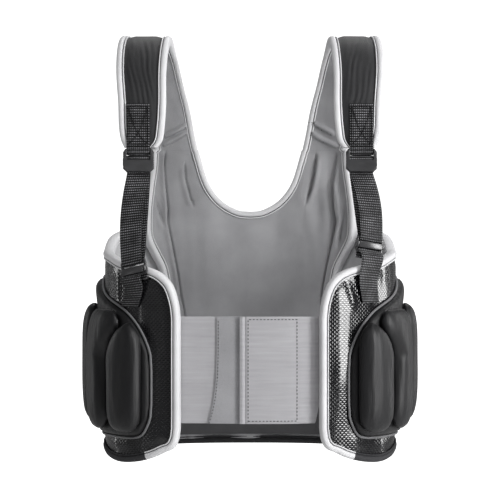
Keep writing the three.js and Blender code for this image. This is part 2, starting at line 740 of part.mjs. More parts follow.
// A plate with cut corners at its foot and two slots, lying in its own plane
function plate(width, height, thickness, bar, cut) {
  const shape = new THREE.Shape();
  shape.moveTo(-width / 2 + cut, -height / 2);
  shape.lineTo(width / 2 - cut, -height / 2);
  shape.lineTo(width / 2, -height / 2 + cut);
  shape.lineTo(width / 2, height / 2);
  shape.lineTo(-width / 2, height / 2);
  shape.lineTo(-width / 2, -height / 2 + cut);
  const slotHeight = (height - 3 * bar) / 2;
  const slotWidth = WEBBING_WIDTH + SLOT_PLAY;
  shape.holes.push(slot(slotWidth, slotHeight, (bar + slotHeight) / 2));
  shape.holes.push(slot(slotWidth, slotHeight, -(bar + slotHeight) / 2));
  const geometry = new THREE.ExtrudeGeometry(shape, { depth: thickness, bevelEnabled: false });
  geometry.translate(0, 0, -thickness / 2);
  return closed(geometry.rotateX(Math.PI / 2));
}

function upperBuckle(side) {
  const geometry = plate(BUCKLE_WIDTH, BUCKLE_HEIGHT, BUCKLE_THICKNESS, BUCKLE_BAR, BUCKLE_CORNER);
  return geometry.translate(side * webbingX, buckleY, buckleZ);
}

// Distance round the torso at which the side panel's outer face reaches the sideways distance x
function sideAlong(x) {
  let along = 0;
  while (pointOut(onTorso(along, 0), SIDE_THICKNESS).x < x) along += GAP;
  return along;
}

// Where the lower buckle lies: just outside the side panel's rim, dipping at its outer end
function slidePose(strapping) {
  const along = sideAlong(SLIDE_SPREAD * strapping.spread);
  const place = onTorso(strapping.side * along, waistZ + SLIDE_RISE * strapping.rise);
  const fold = foldReach(SLIDE_BAR, SLIDE_THICKNESS) + WEBBING_THICKNESS / 2;
  const clear = SIDE_THICKNESS + bindingProud + GAP + fold;
  const turn = Math.atan2(place.out.x, -place.out.y);
  const roll = strapping.side * -THREE.MathUtils.degToRad(strapping.tilt);
  const up = new THREE.Vector3(Math.cos(turn), Math.sin(turn), 0);
  up.multiplyScalar(-Math.sin(roll)).setZ(Math.cos(roll));
  return { along, out: place.out, up, at: pointOut(place, clear), clear, turn, roll };
}

// A point of the lower buckle's own frame
function inSlide(pose, reach, height) {
  return pointOut(pose, reach).addScaledVector(pose.up, height);
}

function lowerBuckle(strapping) {
  const pose = slidePose(strapping);
  const geometry = plate(SLIDE_WIDTH, SLIDE_HEIGHT, SLIDE_THICKNESS, SLIDE_BAR, SLIDE_BAR / 2);
  geometry.rotateY(-pose.roll).rotateZ(pose.turn);
  return geometry.translate(pose.at.x, pose.at.y, pose.at.z);
}

// The adjuster webbing is a flattened loop: through the lower buckle's upper slot and round its top bar,
// up in front, behind the upper buckle's foot bar, over its middle bar and down at the back
function adjusterWebbing(strapping) {
  const { side } = strapping;
  const pose = slidePose(strapping);
  const stops = [];
  const add = (x, y, z, share, bow = 0) => {
    stops.push({
      at: new THREE.Vector3(x + side * bow, y, z),
      turn: pose.turn * (1 - share),
      roll: pose.roll * (1 - share),
    });
  };
  const topX = side * webbingX;
  const fold = foldReach(SLIDE_BAR, SLIDE_THICKNESS);
  const barHeight = SLIDE_HEIGHT / 2 - SLIDE_BAR / 2;
  for (const degrees of [225, 270, 315]) {
    const angle = THREE.MathUtils.degToRad(degrees);
    const at = inSlide(pose, fold * Math.cos(angle), barHeight + fold * Math.sin(angle));
    add(at.x, at.y, at.z, 0);
  }
  const behind = BUCKLE_THICKNESS / 2 + GAP + WEBBING_THICKNESS / 2;
  const further = behind + WEBBING_THICKNESS + 2 * GAP;
  const footZ = buckleZ - BUCKLE_HEIGHT / 2;
  const frontFoot = inSlide(pose, fold, barHeight);
  const backFoot = inSlide(pose, -fold, barHeight);
  const layer = (foot, y, share, bow) => {
    const at = foot.clone().lerp(new THREE.Vector3(topX, buckleY + y, footZ), share);
    add(at.x, at.y, at.z, share, bow * Math.sin(Math.PI * share));
  };
  const steps = 5;
  for (let i = 0; i <= steps; i += 1) layer(frontFoot, behind, i / steps, FRONT_LAYER_BOW);
  const inFront = BUCKLE_THICKNESS / 2 + 2 * GAP + WEBBING_THICKNESS;
  const half = BUCKLE_BAR / 2;
  add(topX, buckleY + behind + GAP, footZ + BUCKLE_BAR + GAP, 1);
  add(topX, buckleY - inFront + GAP, buckleZ - half - 2 * GAP, 1);
  add(topX, buckleY - inFront, buckleZ, 1);
  add(topX, buckleY - behind, buckleZ + half + WEBBING_THICKNESS, 1);
  add(topX, buckleY, buckleZ + half + WEBBING_THICKNESS + 3 * GAP, 1);
  add(topX, buckleY + behind, buckleZ + half + WEBBING_THICKNESS, 1);
  add(topX, buckleY + further, buckleZ - half, 1);
  for (let i = steps; i >= 0; i -= 1) layer(backFoot, further, i / steps, 0);
  return carried(webbingSection, webbingFrames(stops, true), true);
}

// Webbing tab: from behind the lower buckle's foot bar, over it, then down the side panel to the piping
function webbingTab(strapping) {
  const { side } = strapping;
  const pose = slidePose(strapping);
  const fold = foldReach(SLIDE_BAR, SLIDE_THICKNESS);
  const barHeight = -SLIDE_HEIGHT / 2 + SLIDE_BAR / 2;
  const stops = [{ at: inSlide(pose, -fold, barHeight - TAB_TAIL), turn: pose.turn, roll: pose.roll }];
  for (let i = 0; i <= 4; i += 1) {
    const angle = (Math.PI * i) / 4;
    const at = inSlide(pose, -fold * Math.cos(angle), barHeight + fold * Math.sin(angle));
    stops.push({ at, turn: pose.turn, roll: pose.roll });
  }
  const flat = SIDE_THICKNESS + GAP + WEBBING_THICKNESS / 2;
  const rimFoot = Math.min(sideRimZ(pose.along) - BINDING_WIDTH, pose.at.z - SLIDE_HEIGHT / 2 - TAB_TAIL);
  const footZ = padTopZ(pose.along + TAB_DRIFT) + 2 * PIPING_RADIUS + TAB_ABOVE_PIPING;
  const fall = [
    { share: 0.25, out: pose.clear + fold, z: pose.at.z - SLIDE_HEIGHT / 2 - TAB_CLEARANCE },
    { share: 0.5, out: flat + bindingProud + WEBBING_THICKNESS + 2 * GAP, z: rimFoot - 2 * TAB_CLEARANCE },
    { share: 1, out: flat, z: footZ },
  ];
  fall.forEach(({ share, out, z }) => {
    const place = onTorso(side * (pose.along + TAB_DRIFT * share), z);
    const turn = Math.atan2(place.out.x, -place.out.y);
    stops.push({ at: pointOut(place, out), turn, roll: pose.roll * (1 - share) });
  });
  return carried(webbingSection, webbingFrames(stops));
}

function sideRimZ(along) {
  const share = (along - SIDE_FRONT_GAP) / SIDE_LENGTH;
  return waistZ + SIDE_HEIGHT * between(sideRows, "along", share, "top");
}

function padTopZ(along) {
  const share = (along - SIDE_FRONT_GAP - PAD_PANEL_START) / PAD_PANEL_LENGTH;
  return waistZ + PAD_PANEL_LOWEST + PAD_PANEL_HEIGHT * between(padRows, "along", share, "top");
}

add("back_panel", backPanel(), materials.lining);
add("hem_band", hemBand(), materials.darkBinding);
add("neck_binding", neckBinding(), materials.binding);
add("hem_binding", hemBinding(), materials.darkBinding);
add("belt_left", leftBelt(), materials.elastic);
add("belt_loop_patch", loopPatch(), materials.loopFelt);
add("belt_right", rightBelt(), materials.elastic);
add("belt_flap", flap(), materials.elastic);

for (const strapping of SIDES) {
  const { name, side } = strapping;
  add(`shoulder_strap_${name}`, shoulderStrap(side), materials.blackFabric);
  add(`arm_binding_${name}`, armBinding(side), materials.binding);
  add(`side_panel_${name}`, sidePanel(side), materials.carbonVinyl);
  add(`side_binding_${name}`, sideBinding(side), materials.binding);
  add(`pad_panel_${name}`, padPanel(side), materials.foam);
  add(`pad_piping_${name}`, piping(side), materials.piping);
  for (const pad of RIB_PADS) add(`rib_pad_${name}_${pad.name}`, ribPad(side, pad), materials.foam);
  add(`patch_webbing_${name}`, patchWebbing(side), materials.webbing);
  add(`upper_buckle_${name}`, upperBuckle(side), materials.buckle);
  add(`adjuster_webbing_${name}`, adjusterWebbing(strapping), materials.webbing);
  add(`lower_buckle_${name}`, lowerBuckle(strapping), materials.buckle);
  add(`webbing_tab_${name}`, webbingTab(strapping), materials.webbing);
}

export default ribProtector;
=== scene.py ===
"""Looks of the rib protector vest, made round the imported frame.

Shapes are worked out in millimetres on the same torso, strap and panel curves as the solids,
and turned into metres where they become mesh points. Left and right are the photograph's.
"""

import bisect
import math

import bmesh
import bpy
from mathutils import Matrix, Vector, noise


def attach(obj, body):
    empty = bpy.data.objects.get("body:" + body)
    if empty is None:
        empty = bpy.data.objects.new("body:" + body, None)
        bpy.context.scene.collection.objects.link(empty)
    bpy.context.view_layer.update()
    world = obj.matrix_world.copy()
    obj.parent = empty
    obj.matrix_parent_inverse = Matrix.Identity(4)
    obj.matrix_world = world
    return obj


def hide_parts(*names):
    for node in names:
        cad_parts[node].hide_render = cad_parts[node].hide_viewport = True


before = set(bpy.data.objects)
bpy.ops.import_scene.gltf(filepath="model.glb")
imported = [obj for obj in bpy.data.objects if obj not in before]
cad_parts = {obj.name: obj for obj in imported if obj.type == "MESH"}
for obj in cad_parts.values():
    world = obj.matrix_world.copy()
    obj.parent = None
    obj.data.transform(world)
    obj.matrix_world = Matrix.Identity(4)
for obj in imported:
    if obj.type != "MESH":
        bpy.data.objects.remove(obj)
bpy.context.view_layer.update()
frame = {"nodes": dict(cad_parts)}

MM = 0.001

# Sizes of the solids, in millimetres
TORSO_WIDTH = 307
TORSO_DEPTH = 220
SQUARENESS = 2.5
GAP = 0.3
BINDING_PROUD = 2.0
BINDING_WIDTH = 8.5
BACK_THICKNESS = 8
BACK_LENGTH = 453
BACK_HALF_WIDTH = 118
NECK_DROP = 186
SEAM_DROP = 113
HEM_BAND_HEIGHT = 32
STRAP_THICKNESS = 8
STRAP_ARCH_HEIGHT = 95
STRAP_FRONT_REACH = 98
STRAP_FRONT_DROP = 120
STRAP_CENTRE = 115
STRAP_WIDTH = 56
SIDE_THICKNESS = 8
SIDE_HEIGHT = 260
SIDE_LENGTH = 269
SIDE_FRONT_GAP = 76
WAIST = -456
PAD_PANEL_THICKNESS = 8
PAD_PANEL_HEIGHT = 169
PAD_PANEL_LENGTH = 168
PAD_PANEL_START = 29
PAD_PANEL_LOWEST = 27
PIPING_RADIUS = 1.5
RIB_PAD_HEIGHT = 16
RIB_PAD_WIDTH = 37
RIB_PAD_LENGTH = 120
RIB_PAD_PITCH = 40
RIB_PAD_LOWEST = 31
RIB_PAD_START = 52
BELT_HEIGHT = 114
BELT_FOOT = -414
WEBBING_WIDTH = 25
WEBBING_THICKNESS = 1.5
BUCKLE_WIDTH = 33
BUCKLE_HEIGHT = 25
BUCKLE_THICKNESS = 4
BUCKLE_BAR = 3.6
SLIDE_WIDTH = 31
SLIDE_HEIGHT = 16
SLIDE_THICKNESS = 3
SLIDE_BAR = 2.8
BUCKLE_CLEARANCE = 1.2
BUCKLE_SHIFT = 2.6
TAB_CLEARANCE = 3
SLIDE_RISE = 219.8
SLIDE_SPREAD = 121.5

HALF_WIDTH = TORSO_WIDTH / 2
HALF_DEPTH = TORSO_DEPTH / 2
BACK_SETBACK = 2 * BINDING_PROUD + GAP

# Each side's strapping. rise, spread: the lower slide's place, in shares of SLIDE_RISE and
# SLIDE_SPREAD. tilt: degrees by which its outer end dips. facing: share of the torso's turn that it
# follows. drift: how far the tab runs outwards. lip, slope: height and slant of its flat bar
SIDES = [
    {"name": "left", "side": -1, "rise": 0.945, "spread": 0.983, "tilt": 12, "facing": 0.75,
     "drift": 10, "lip": -3, "slope": 2.6},
    {"name": "right", "side": 1, "rise": 1.055, "spread": 1.017, "tilt": 9, "facing": 0.45,
     "drift": 6, "lip": 0, "slope": 0.5},
]

# Back panel's side edge: share of its length downwards, share of its half width
BACK_SIDE_EDGE = [
    (0.0, 0.946), (0.05, 0.949), (0.135, 0.979), (0.22, 1.0), (0.297, 0.991),
    (0.355, 0.924), (0.408, 0.856), (0.5, 0.815), (0.65, 0.795), (1.0, 0.78),
]

# Neck edge: share of the half width, share of the way up to the strap seam
NECK_EDGE = [
    (0.0, 0.0), (0.1, 0.014), (0.185, 0.067), (0.26, 0.137), (0.328, 0.23),
    (0.395, 0.36), (0.45, 0.51), (0.502, 0.72), (0.556, 1.0),
]

# Strap stations: turn, share of the straight run, neck edge, arm edge, drift, as in the solids
STRAP_STATIONS = [
    (0, 1.0, 0.3, 0.26, -0.04), (0, 0.7, 0.39, 0.32, -0.04), (0, 0.2, 0.43, 0.36, -0.04),
    (12, 0, 0.46, 0.38, -0.04), (35, 0, 0.46, 0.43, -0.05), (62, 0, 0.47, 0.45, -0.04),
    (90, 0, 0.46, 0.44, 0), (118, 0, 0.44, 0.44, 0.1), (143, 0, 0.42, 0.43, 0.22),
    (163, 0, 0.41, 0.42, 0.36), (180, 0, 0.41, 0.42, 0.45), (180, 1.0, 0.4, 0.42, 0.53),
]

# Side panel: share of its length from the front edge, shares of its height at the top and foot
SIDE_OUTLINE = [
    (0.0, 0.593, 0.144), (0.005, 0.643, 0.103), (0.013, 0.677, 0.082), (0.031, 0.726, 0.061),
    (0.06, 0.76, 0.049), (0.098, 0.783, 0.03), (0.171, 0.802, 0.008), (0.255, 0.817, 0.0),
    (0.345, 0.844, 0.011), (0.444, 0.861, 0.034), (0.535, 0.875, 0.042), (0.636, 0.922, 0.042),
    (0.749, 0.954, 0.034), (0.855, 0.981, 0.023), (1.0, 1.0, 0.015),
]

# Foam panel's outline, in shares of its own length and height
PAD_OUTLINE = [
    (0.0, 0.42, 0.22), (0.006, 0.52, 0.13), (0.028, 0.585, 0.07), (0.06, 0.65, 0.02),
    (0.11, 0.72, 0.004), (0.175, 0.78, 0.0), (0.25, 0.82, 0.0), (0.355, 0.86, 0.0),
    (0.47, 0.905, 0.0), (0.6, 0.965, 0.0), (0.73, 1.0, 0.0), (0.86, 1.0, 0.005),
    (0.94, 0.965, 0.03), (0.985, 0.89, 0.09), (1.0, 0.75, 0.22),
]

# Raised pads of one side: place in pitches, shares of width and height, lift of the top and foot,
# and how far each upper corner is set forwards, where the side pad reaches over the front one
RIB_PADS = [
    {"name": "front", "place": 0, "width": 1.0, "height": 1.0, "lift": 0, "foot": 0,
     "front_shift": 0, "rear_shift": 11, "round": 0.62},
    {"name": "side", "place": 1, "width": 0.92, "height": 0.9, "lift": 14, "foot": 1,
     "front_shift": 17, "rear_shift": 0, "round": 0.4},
    {"name": "rear", "place": 2, "width": 1.0, "height": 1.0, "lift": 18, "foot": 6,
     "front_shift": 0, "rear_shift": 0, "round": 0.4},
]
RIB_SHIFT_FROM = 79
RIB_SHIFT_TO = 122
RIB_BASE = SIDE_THICKNESS + PAD_PANEL_THICKNESS + 3 * GAP


# Torso, back and strap curves

def torso_point(turn):
    side = abs(math.sin(turn) / HALF_WIDTH) ** SQUARENESS
    front = abs(math.cos(turn) / HALF_DEPTH) ** SQUARENESS
    reach = (side + front) ** (-1 / SQUARENESS)
    return Vector((reach * math.sin(turn), -reach * math.cos(turn), 0))


PLAN_STEPS = 1440
plan = [torso_point(math.pi * i / PLAN_STEPS) for i in range(PLAN_STEPS + 1)]
plan_lengths = [0.0]
for before, after in zip(plan, plan[1:]):
    plan_lengths.append(plan_lengths[-1] + (after - before).length)


def on_torso(along, z):
    """Point and outward normal of the torso, so many millimetres round from the front centre."""
    distance = min(max(abs(along), 0.0), plan_lengths[-1])
    step = min(max(bisect.bisect_left(plan_lengths, distance), 1), PLAN_STEPS)
    span = plan_lengths[step] - plan_lengths[step - 1]
    at = plan[step - 1].lerp(plan[step], (distance - plan_lengths[step - 1]) / span)
    tangent = (plan[min(step + 2, PLAN_STEPS)] - plan[max(step - 3, 0)]).normalized()
    out = Vector((tangent.y, -tangent.x, 0))
    if along < 0:
        at.x, out.x = -at.x, -out.x
    at.z = z
    return at, out


def on_back(x, z):
    """Point and outward normal on the inner face of the back panel."""
    wide = HALF_WIDTH - BACK_SETBACK - BACK_THICKNESS
    deep = HALF_DEPTH - BACK_SETBACK - BACK_THICKNESS
    share = min(abs(x) / wide, 0.999)
    y = deep * (1 - share ** SQUARENESS) ** (1 / SQUARENESS)
    slope_x = math.copysign(share ** (SQUARENESS - 1), x) / wide
    slope_y = (y / deep) ** (SQUARENESS - 1) / deep
    return Vector((x, y, z)), Vector((slope_x, slope_y, 0)).normalized()


def lerp(a, b, share):
    return a + (b - a) * share


def smooth(value, low, high):
    share = min(max((value - low) / (high - low), 0), 1)
    return share * share * (3 - 2 * share)


def bumps(x, y, z):
    """Slow random unevenness, between -1 and 1."""
    return noise.noise(Vector((x, y, z)))


def between(rows, value, column=1):
    """A table's column where its first column has the given value."""
    if value <= rows[0][0]:
        return rows[0][column]
    for low, high in zip(rows, rows[1:]):
        if value <= high[0]:
            return lerp(low[column], high[column], (value - low[0]) / (high[0] - low[0]))
    return rows[-1][column]


def spline_point(points, t):
    """A centripetal curve through points, at share t of its stretches."""
    last = len(points) - 1
    place = last * min(max(t, 0), 1)
    step = min(int(place), last - 1)
    weight = place - step
    p1, p2 = points[step], points[step + 1]
    p0 = points[step - 1] if step > 0 else p1 * 2 - p2
    p3 = points[step + 2] if step + 2 <= last else p2 * 2 - p1
    d0, d1, d2 = ((b - a).length ** 0.5 for a, b in ((p0, p1), (p1, p2), (p2, p3)))
    d1 = d1 if d1 > 1e-4 else 1.0
    d0 = d0 if d0 > 1e-4 else d1
    d2 = d2 if d2 > 1e-4 else d1
    t1 = ((p1 - p0) / d0 - (p2 - p0) / (d0 + d1) + (p2 - p1) / d1) * d1
    t2 = ((p2 - p1) / d1 - (p3 - p1) / (d1 + d2) + (p3 - p2) / d2) * d1
    c2 = (p2 - p1) * 3 - t1 * 2 - t2
    c3 = (p1 - p2) * 2 + t1 + t2
    return p1 + t1 * weight + c2 * weight ** 2 + c3 * weight ** 3


def refined(rows, length, limit=3.0):
    points = [Vector(row) for row in rows]
    fine = []
    for i, (low, high) in enumerate(zip(rows, rows[1:])):
        steps = max(1, math.ceil((high[0] - low[0]) * length / limit))
        shares = [(i + k / steps) / (len(rows) - 1) for k in range(steps)]
        fine += [tuple(spline_point(points, share)) for share in shares]
    return fine + [tuple(points[-1])]


def strap_edges():
    edges = {"neck": [], "arm": []}
    for turn, below, neck, arm, drift in STRAP_STATIONS:
        angle = math.radians(turn)
        is_back = turn > 90
        straight = (SEAM_DROP if is_back else STRAP_FRONT_DROP) - STRAP_ARCH_HEIGHT
        z = -STRAP_ARCH_HEIGHT + STRAP_ARCH_HEIGHT * math.sin(angle) - straight * below
        for edge, offset in (("neck", -neck), ("arm", arm)):
            x = STRAP_CENTRE + (offset - drift) * STRAP_WIDTH
            reach = on_back(x, z)[0].y if is_back else STRAP_FRONT_REACH
            edges[edge].append(Vector((x, -reach * math.cos(angle), z)))
    return edges


STRAP = strap_edges()


def on_strap(side, t, w):
    """Point, outward normal and inward direction under a strap, at t along and w across."""
    ahead, behind = min(t + 0.002, 1), max(t - 0.002, 0)
    neck, arm = spline_point(STRAP["neck"], t), spline_point(STRAP["arm"], t)
    middle_ahead = (spline_point(STRAP["neck"], ahead) + spline_point(STRAP["arm"], ahead)) / 2
    middle_behind = (spline_point(STRAP["neck"], behind) + spline_point(STRAP["arm"], behind)) / 2
    width = arm - neck
    out = width.cross(middle_ahead - middle_behind).normalized()
    at = neck.lerp(arm, w)
    panel_at, panel_out = on_back(at.x, at.z)
    fit = smooth(t, 0.6, 0.88)
    at = at.lerp(panel_at, fit)
    out = out.lerp(panel_out, fit).normalized()
    across = (width - out * width.dot(out)).normalized() * (1 if w < 0.5 else -1)
    for vector in (at, out, across):
        vector.x *= side
    return at, out, across


def panel_half_width(z):
    return BACK_HALF_WIDTH * between(BACK_SIDE_EDGE, (-SEAM_DROP - z) / (BACK_LENGTH - SEAM_DROP))


def on_side(side, share, height):
    return on_torso(side * (SIDE_FRONT_GAP + share * SIDE_LENGTH), WAIST + height * SIDE_HEIGHT)


def on_pad(side, share, height):
    along = SIDE_FRONT_GAP + PAD_PANEL_START + share * PAD_PANEL_LENGTH
    return on_torso(side * along, WAIST + PAD_PANEL_LOWEST + height * PAD_PANEL_HEIGHT)


side_rows = refined(SIDE_OUTLINE, SIDE_LENGTH)
pad_rows = refined(PAD_OUTLINE, PAD_PANEL_LENGTH)


# Materials

class Finish:
    """A material's nodes, joined by short calls."""

    def __init__(self, name, colour, roughness, specular=0.5):
        self.material = bpy.data.materials.new(name)
        self.material.use_nodes = True
        self.nodes = self.material.node_tree.nodes
        self.links = self.material.node_tree.links
        self.shader = self.nodes["Principled BSDF"]
        self.put(self.shader, Base_Color=(*colour, 1), Roughness=roughness,
                 Specular_IOR_Level=specular)
        self.coordinates = self.nodes.new("ShaderNodeTexCoord")

    def join(self, socket, value):
        """Links a socket to a node's output, or gives it a plain value."""
        if isinstance(value, bpy.types.NodeSocket):
            self.links.new(value, socket)
        else:
            socket.default_value = value

    def put(self, node, **inputs):
        for name, value in inputs.items():
            self.join(node.inputs[name.replace("_", " ")], value)

    def node(self, kind, **inputs):
        made = self.nodes.new("ShaderNode" + kind)
        self.put(made, **inputs)
        return made

    def placed(self, scale, source="UV"):
        mapping = self.node("Mapping", Vector=self.coordinates.outputs[source], Scale=scale)
        return mapping.outputs["Vector"]

    def math(self, operation, a, b=0.0):
        made = self.nodes.new("ShaderNodeMath")
        made.operation = operation
        for socket, value in zip(made.inputs, (a, b)):
            self.join(socket, value)
        return made.outputs[0]

    def blend(self, a, share_a, b, share_b):
        parts = (self.math("MULTIPLY", a, share_a), self.math("MULTIPLY", b, share_b))
        return self.math("ADD", *parts)

    def noise(self, scale, detail=3.0, source="Object", stretch=(1, 1, 1)):
        vector = self.placed(stretch, source)
        return self.node("TexNoise", Vector=vector, Scale=scale, Detail=detail).outputs["Fac"]

    def ribs(self, period, across, source="UV"):
        """Fine ribs of a period in metres, stepping along the map's first or second direction."""
        made = self.node("TexWave", Vector=self.placed((1, 1, 1), source), Scale=0.314159 / period)
        made.wave_type = "BANDS"
        made.bands_direction = across
        made.wave_profile = "SIN"
        return made.outputs["Fac"]

    def ramp(self, value, low, high, start, end):
        made = self.node("MapRange", Value=value, From_Min=low, From_Max=high, To_Min=start,
                         To_Max=end)
        return made.outputs["Result"]

    def colours(self, value, dark, light):
        made = self.nodes.new("ShaderNodeMix")
        made.data_type = "RGBA"
        self.links.new(value, made.inputs[0])
        made.inputs[6].default_value = (*dark, 1)
        made.inputs[7].default_value = (*light, 1)
        self.links.new(made.outputs[2], self.shader.inputs["Base Color"])

    def rough(self, value, low, high):
        self.put(self.shader, Roughness=self.ramp(value, 0, 1, low, high))

    def bump(self, *heights):
        """Bumps of (height, distance in metres), laid over one another."""
        normal = None
        for height, distance in heights:
            made = self.node("Bump", Height=height, Distance=distance)
            if normal is not None:
                self.put(made, Normal=normal)
            normal = made.outputs["Normal"]
        self.put(self.shader, Normal=normal)


def shade(colour, factor):
    return tuple(channel * factor for channel in colour)


def woven(name, colour, pitch, roughness, depth=0.00012, sheen=0.0, mottle=0.18, specular=0.3):
    """Plain woven cloth: threads both ways, with slow mottling."""
    finish = Finish(name, colour, roughness, specular)
    threads = finish.math("MULTIPLY", finish.ribs(pitch, "X"), finish.ribs(pitch, "Y"))
    slow = finish.noise(28, 4)
    fine = finish.noise(900, 2)
    tone = finish.blend(slow, 0.6, threads, 0.4)
    finish.colours(tone, shade(colour, 1 - 2 * mottle), shade(colour, 1 + mottle))
    finish.rough(fine, roughness - 0.08, min(roughness + 0.08, 1))
    finish.bump((slow, 0.0006), (threads, depth), (fine, 0.00004))
    finish.put(finish.shader, Sheen_Weight=sheen, Sheen_Roughness=0.5)
    return finish.material


def carbon_vinyl():
    """Glossy black vinyl embossed with a small basket weave."""
    colour = (0.006, 0.006, 0.007)
    finish = Finish("carbon_vinyl", colour, 0.2, 0.55)
    cell = 0.0022
    squares = finish.node("TexChecker", Vector=finish.placed((1, 1, 1)), Scale=1 / cell)
    chosen = finish.nodes.new("ShaderNodeMix")
    finish.links.new(squares.outputs["Fac"], chosen.inputs[0])
    finish.links.new(finish.ribs(cell, "X"), chosen.inputs[2])
    finish.links.new(finish.ribs(cell, "Y"), chosen.inputs[3])
    height = chosen.outputs[0]
    wide = finish.noise(18, 3, stretch=(1, 1, 0.6))
    finish.colours(height, shade(colour, 0.5), shade(colour, 2.0))
    finish.rough(wide, 0.11, 0.2)
    finish.bump((wide, 0.002), (height, 0.00014))
    finish.put(finish.shader, Coat_Weight=0.4, Coat_Roughness=0.1)
    return finish.material


def stretch_foam(name, colour, sheen):
    """Matt stretch cloth over foam: a fine knit with soft upright wrinkles."""
    finish = Finish(name, colour, 0.5, 0.5)
    knit = finish.math("MULTIPLY", finish.ribs(0.0009, "X"), finish.ribs(0.0013, "Y"))
    folds = finish.noise(34, 3, stretch=(3.2, 3.2, 0.42))
    slow = finish.noise(14, 3, stretch=(1.6, 1.6, 0.6))
    fine = finish.noise(1500, 2)
    finish.colours(slow, shade(colour, 0.6), shade(colour, 1.5))
    finish.rough(fine, 0.42, 0.58)
    finish.bump((slow, 0.0026), (folds, 0.0011), (knit, 0.00006), (fine, 0.00003))
    finish.put(finish.shader, Sheen_Weight=sheen, Sheen_Roughness=0.4)
    return finish.material


def tape(name, colour, roughness=0.55):
    """Smooth folded tape with a fine cross grain."""
    finish = Finish(name, colour, roughness, 0.35)
    grain = finish.ribs(0.0009, "X")
    slow = finish.noise(40, 3)
    finish.colours(slow, shade(colour, 0.86), shade(colour, 1.08))
    finish.rough(slow, roughness - 0.08, roughness + 0.1)
    finish.bump((slow, 0.0004), (grain, 0.00006))
    return finish.material


def elastic():
    """Wide elastic: fine level ribs, each with a faint thread pattern."""
    colour = (0.35, 0.347, 0.36)
    finish = Finish("elastic", colour, 0.72, 0.3)
    rib = finish.ribs(0.0013, "Y")
    thread = finish.ribs(0.0011, "X")
    slow = finish.noise(30, 4)
    level = finish.noise(120, 3, "UV", (0.12, 2.4, 1))
    tone = finish.blend(level, 0.65, slow, 0.35)
    finish.colours(tone, shade(colour, 0.74), shade(colour, 1.16))
    finish.bump((slow, 0.0006), (level, 0.0004), (rib, 0.00014), (thread, 0.00005))
    finish.put(finish.shader, Sheen_Weight=0.15)
    return finish.material


def loop_felt():
    """Brushed loop face of a touch fastener."""
    colour = (0.27, 0.27, 0.28)
    finish = Finish("loop_felt", colour, 0.92, 0.2)
    fluff = finish.noise(1100, 5)
    slow = finish.noise(35, 4)
    tone = finish.blend(fluff, 0.5, slow, 0.5)
    finish.colours(tone, shade(colour, 0.6), shade(colour, 1.35))
    finish.bump((slow, 0.0005), (fluff, 0.0003))
    finish.put(finish.shader, Sheen_Weight=0.3)
    return finish.material


def webbing():
    """Narrow black webbing: strong cross ribs split by lengthwise threads, with painted highlights
    on the rib crests.
    """
    colour = (0.02, 0.02, 0.021)
    finish = Finish("webbing", colour, 0.55, 0.35)
    rib = finish.ribs(0.0027, "Y")
    thread = finish.ribs(0.0021, "X")
    slow = finish.noise(60, 3)
    split = finish.math("MULTIPLY", rib, finish.ramp(thread, 0, 1, 0.4, 1))
    dots = finish.math("POWER", split, 2.0)
    # Painted highlight: the thread dots on the rib crests are coloured up to 18 times lighter than
    # the webbing, patchily along the slow noise.
    crest_highlight = finish.math("MULTIPLY", dots, finish.ramp(slow, 0.35, 0.7, 0.35, 1))
    finish.colours(crest_highlight, shade(colour, 0.3), shade(colour, 18))
    finish.rough(slow, 0.42, 0.6)
    finish.bump((slow, 0.0006), (dots, 0.0005))
    return finish.material


def moulded_plastic(name, colour, roughness):
    """Moulded buckle plastic with a fine spark-eroded grain."""
    finish = Finish(name, colour, roughness, 0.5)
    grain = finish.noise(2200, 3)
    slow = finish.noise(70, 3)
    finish.colours(slow, shade(colour, 0.8), shade(colour, 1.3))
    finish.rough(slow, roughness - 0.06, roughness + 0.08)
    finish.bump((slow, 0.0002), (grain, 0.00003))
    return finish.material


LINING = woven("lining_cloth", (0.36, 0.36, 0.37), 0.0012, 0.85, 0.00016, 0.08, 0.2)
STRAP_CLOTH = woven("strap_cloth", (0.036, 0.036, 0.038), 0.0010, 0.7, 0.00012, 0.12, 0.2)
BACK_CLOTH = woven("back_cloth", (0.026, 0.026, 0.028), 0.0011, 0.75, 0.00014, 0.2, 0.25)
CARBON = carbon_vinyl()
WING_LINING = woven("wing_lining", (0.5, 0.5, 0.51), 0.0012, 0.85, 0.00012, 0.1)
BINDING = tape("binding_tape", (0.58, 0.58, 0.59))
DARK_TAPE = tape("dark_tape", (0.04, 0.04, 0.043), 0.75)
HEM_TAPE = tape("hem_tape", (0.035, 0.035, 0.037), 0.95)
# Partly painted shade: the band at the lining's foot is a real band, made dark to stand for the
# lining in shadow beneath the belt.
BAND_SHADE = woven("band_painted_shade", (0.11, 0.11, 0.114), 0.0012, 0.8, 0.00012, 0.1)
FOAM = stretch_foam("foam_cloth", (0.007, 0.007, 0.008), 0.06)
PIPING = tape("piping_tape", (0.15, 0.15, 0.155), 0.5)
# Painted shade for the stitch grooves of the bindings.
GROOVE_SHADE = tape("groove_shadow", (0.07, 0.07, 0.075), 0.8)
ELASTIC = elastic()
LOOP_FELT = loop_felt()
WEBBING = webbing()
BUCKLE = moulded_plastic("buckle_plastic", (0.05, 0.05, 0.052), 0.22)
THREAD_GREY = tape("grey_thread", (0.06, 0.06, 0.062), 0.7)
THREAD_DARK = tape("dark_thread", (0.012, 0.012, 0.013), 0.6)


# Mesh making

# Edges that turn by more than SHARP_TURN, in radians, stay sharp. Points closer than MERGED, in
# metres, are joined
SHARP_TURN = 0.95
MERGED = 0.000004


def edges_over(bm, turn):
    inner = [edge for edge in bm.edges if len(edge.link_faces) == 2]
    return [edge for edge in inner if edge.calc_face_angle(0) > turn]


def round_edges(bm, edges, offset, segments):
    bmesh.ops.bevel(bm, geom=edges, offset=offset, offset_type="OFFSET", segments=segments,
                    affect="EDGES", profile=0.5, material=-1)


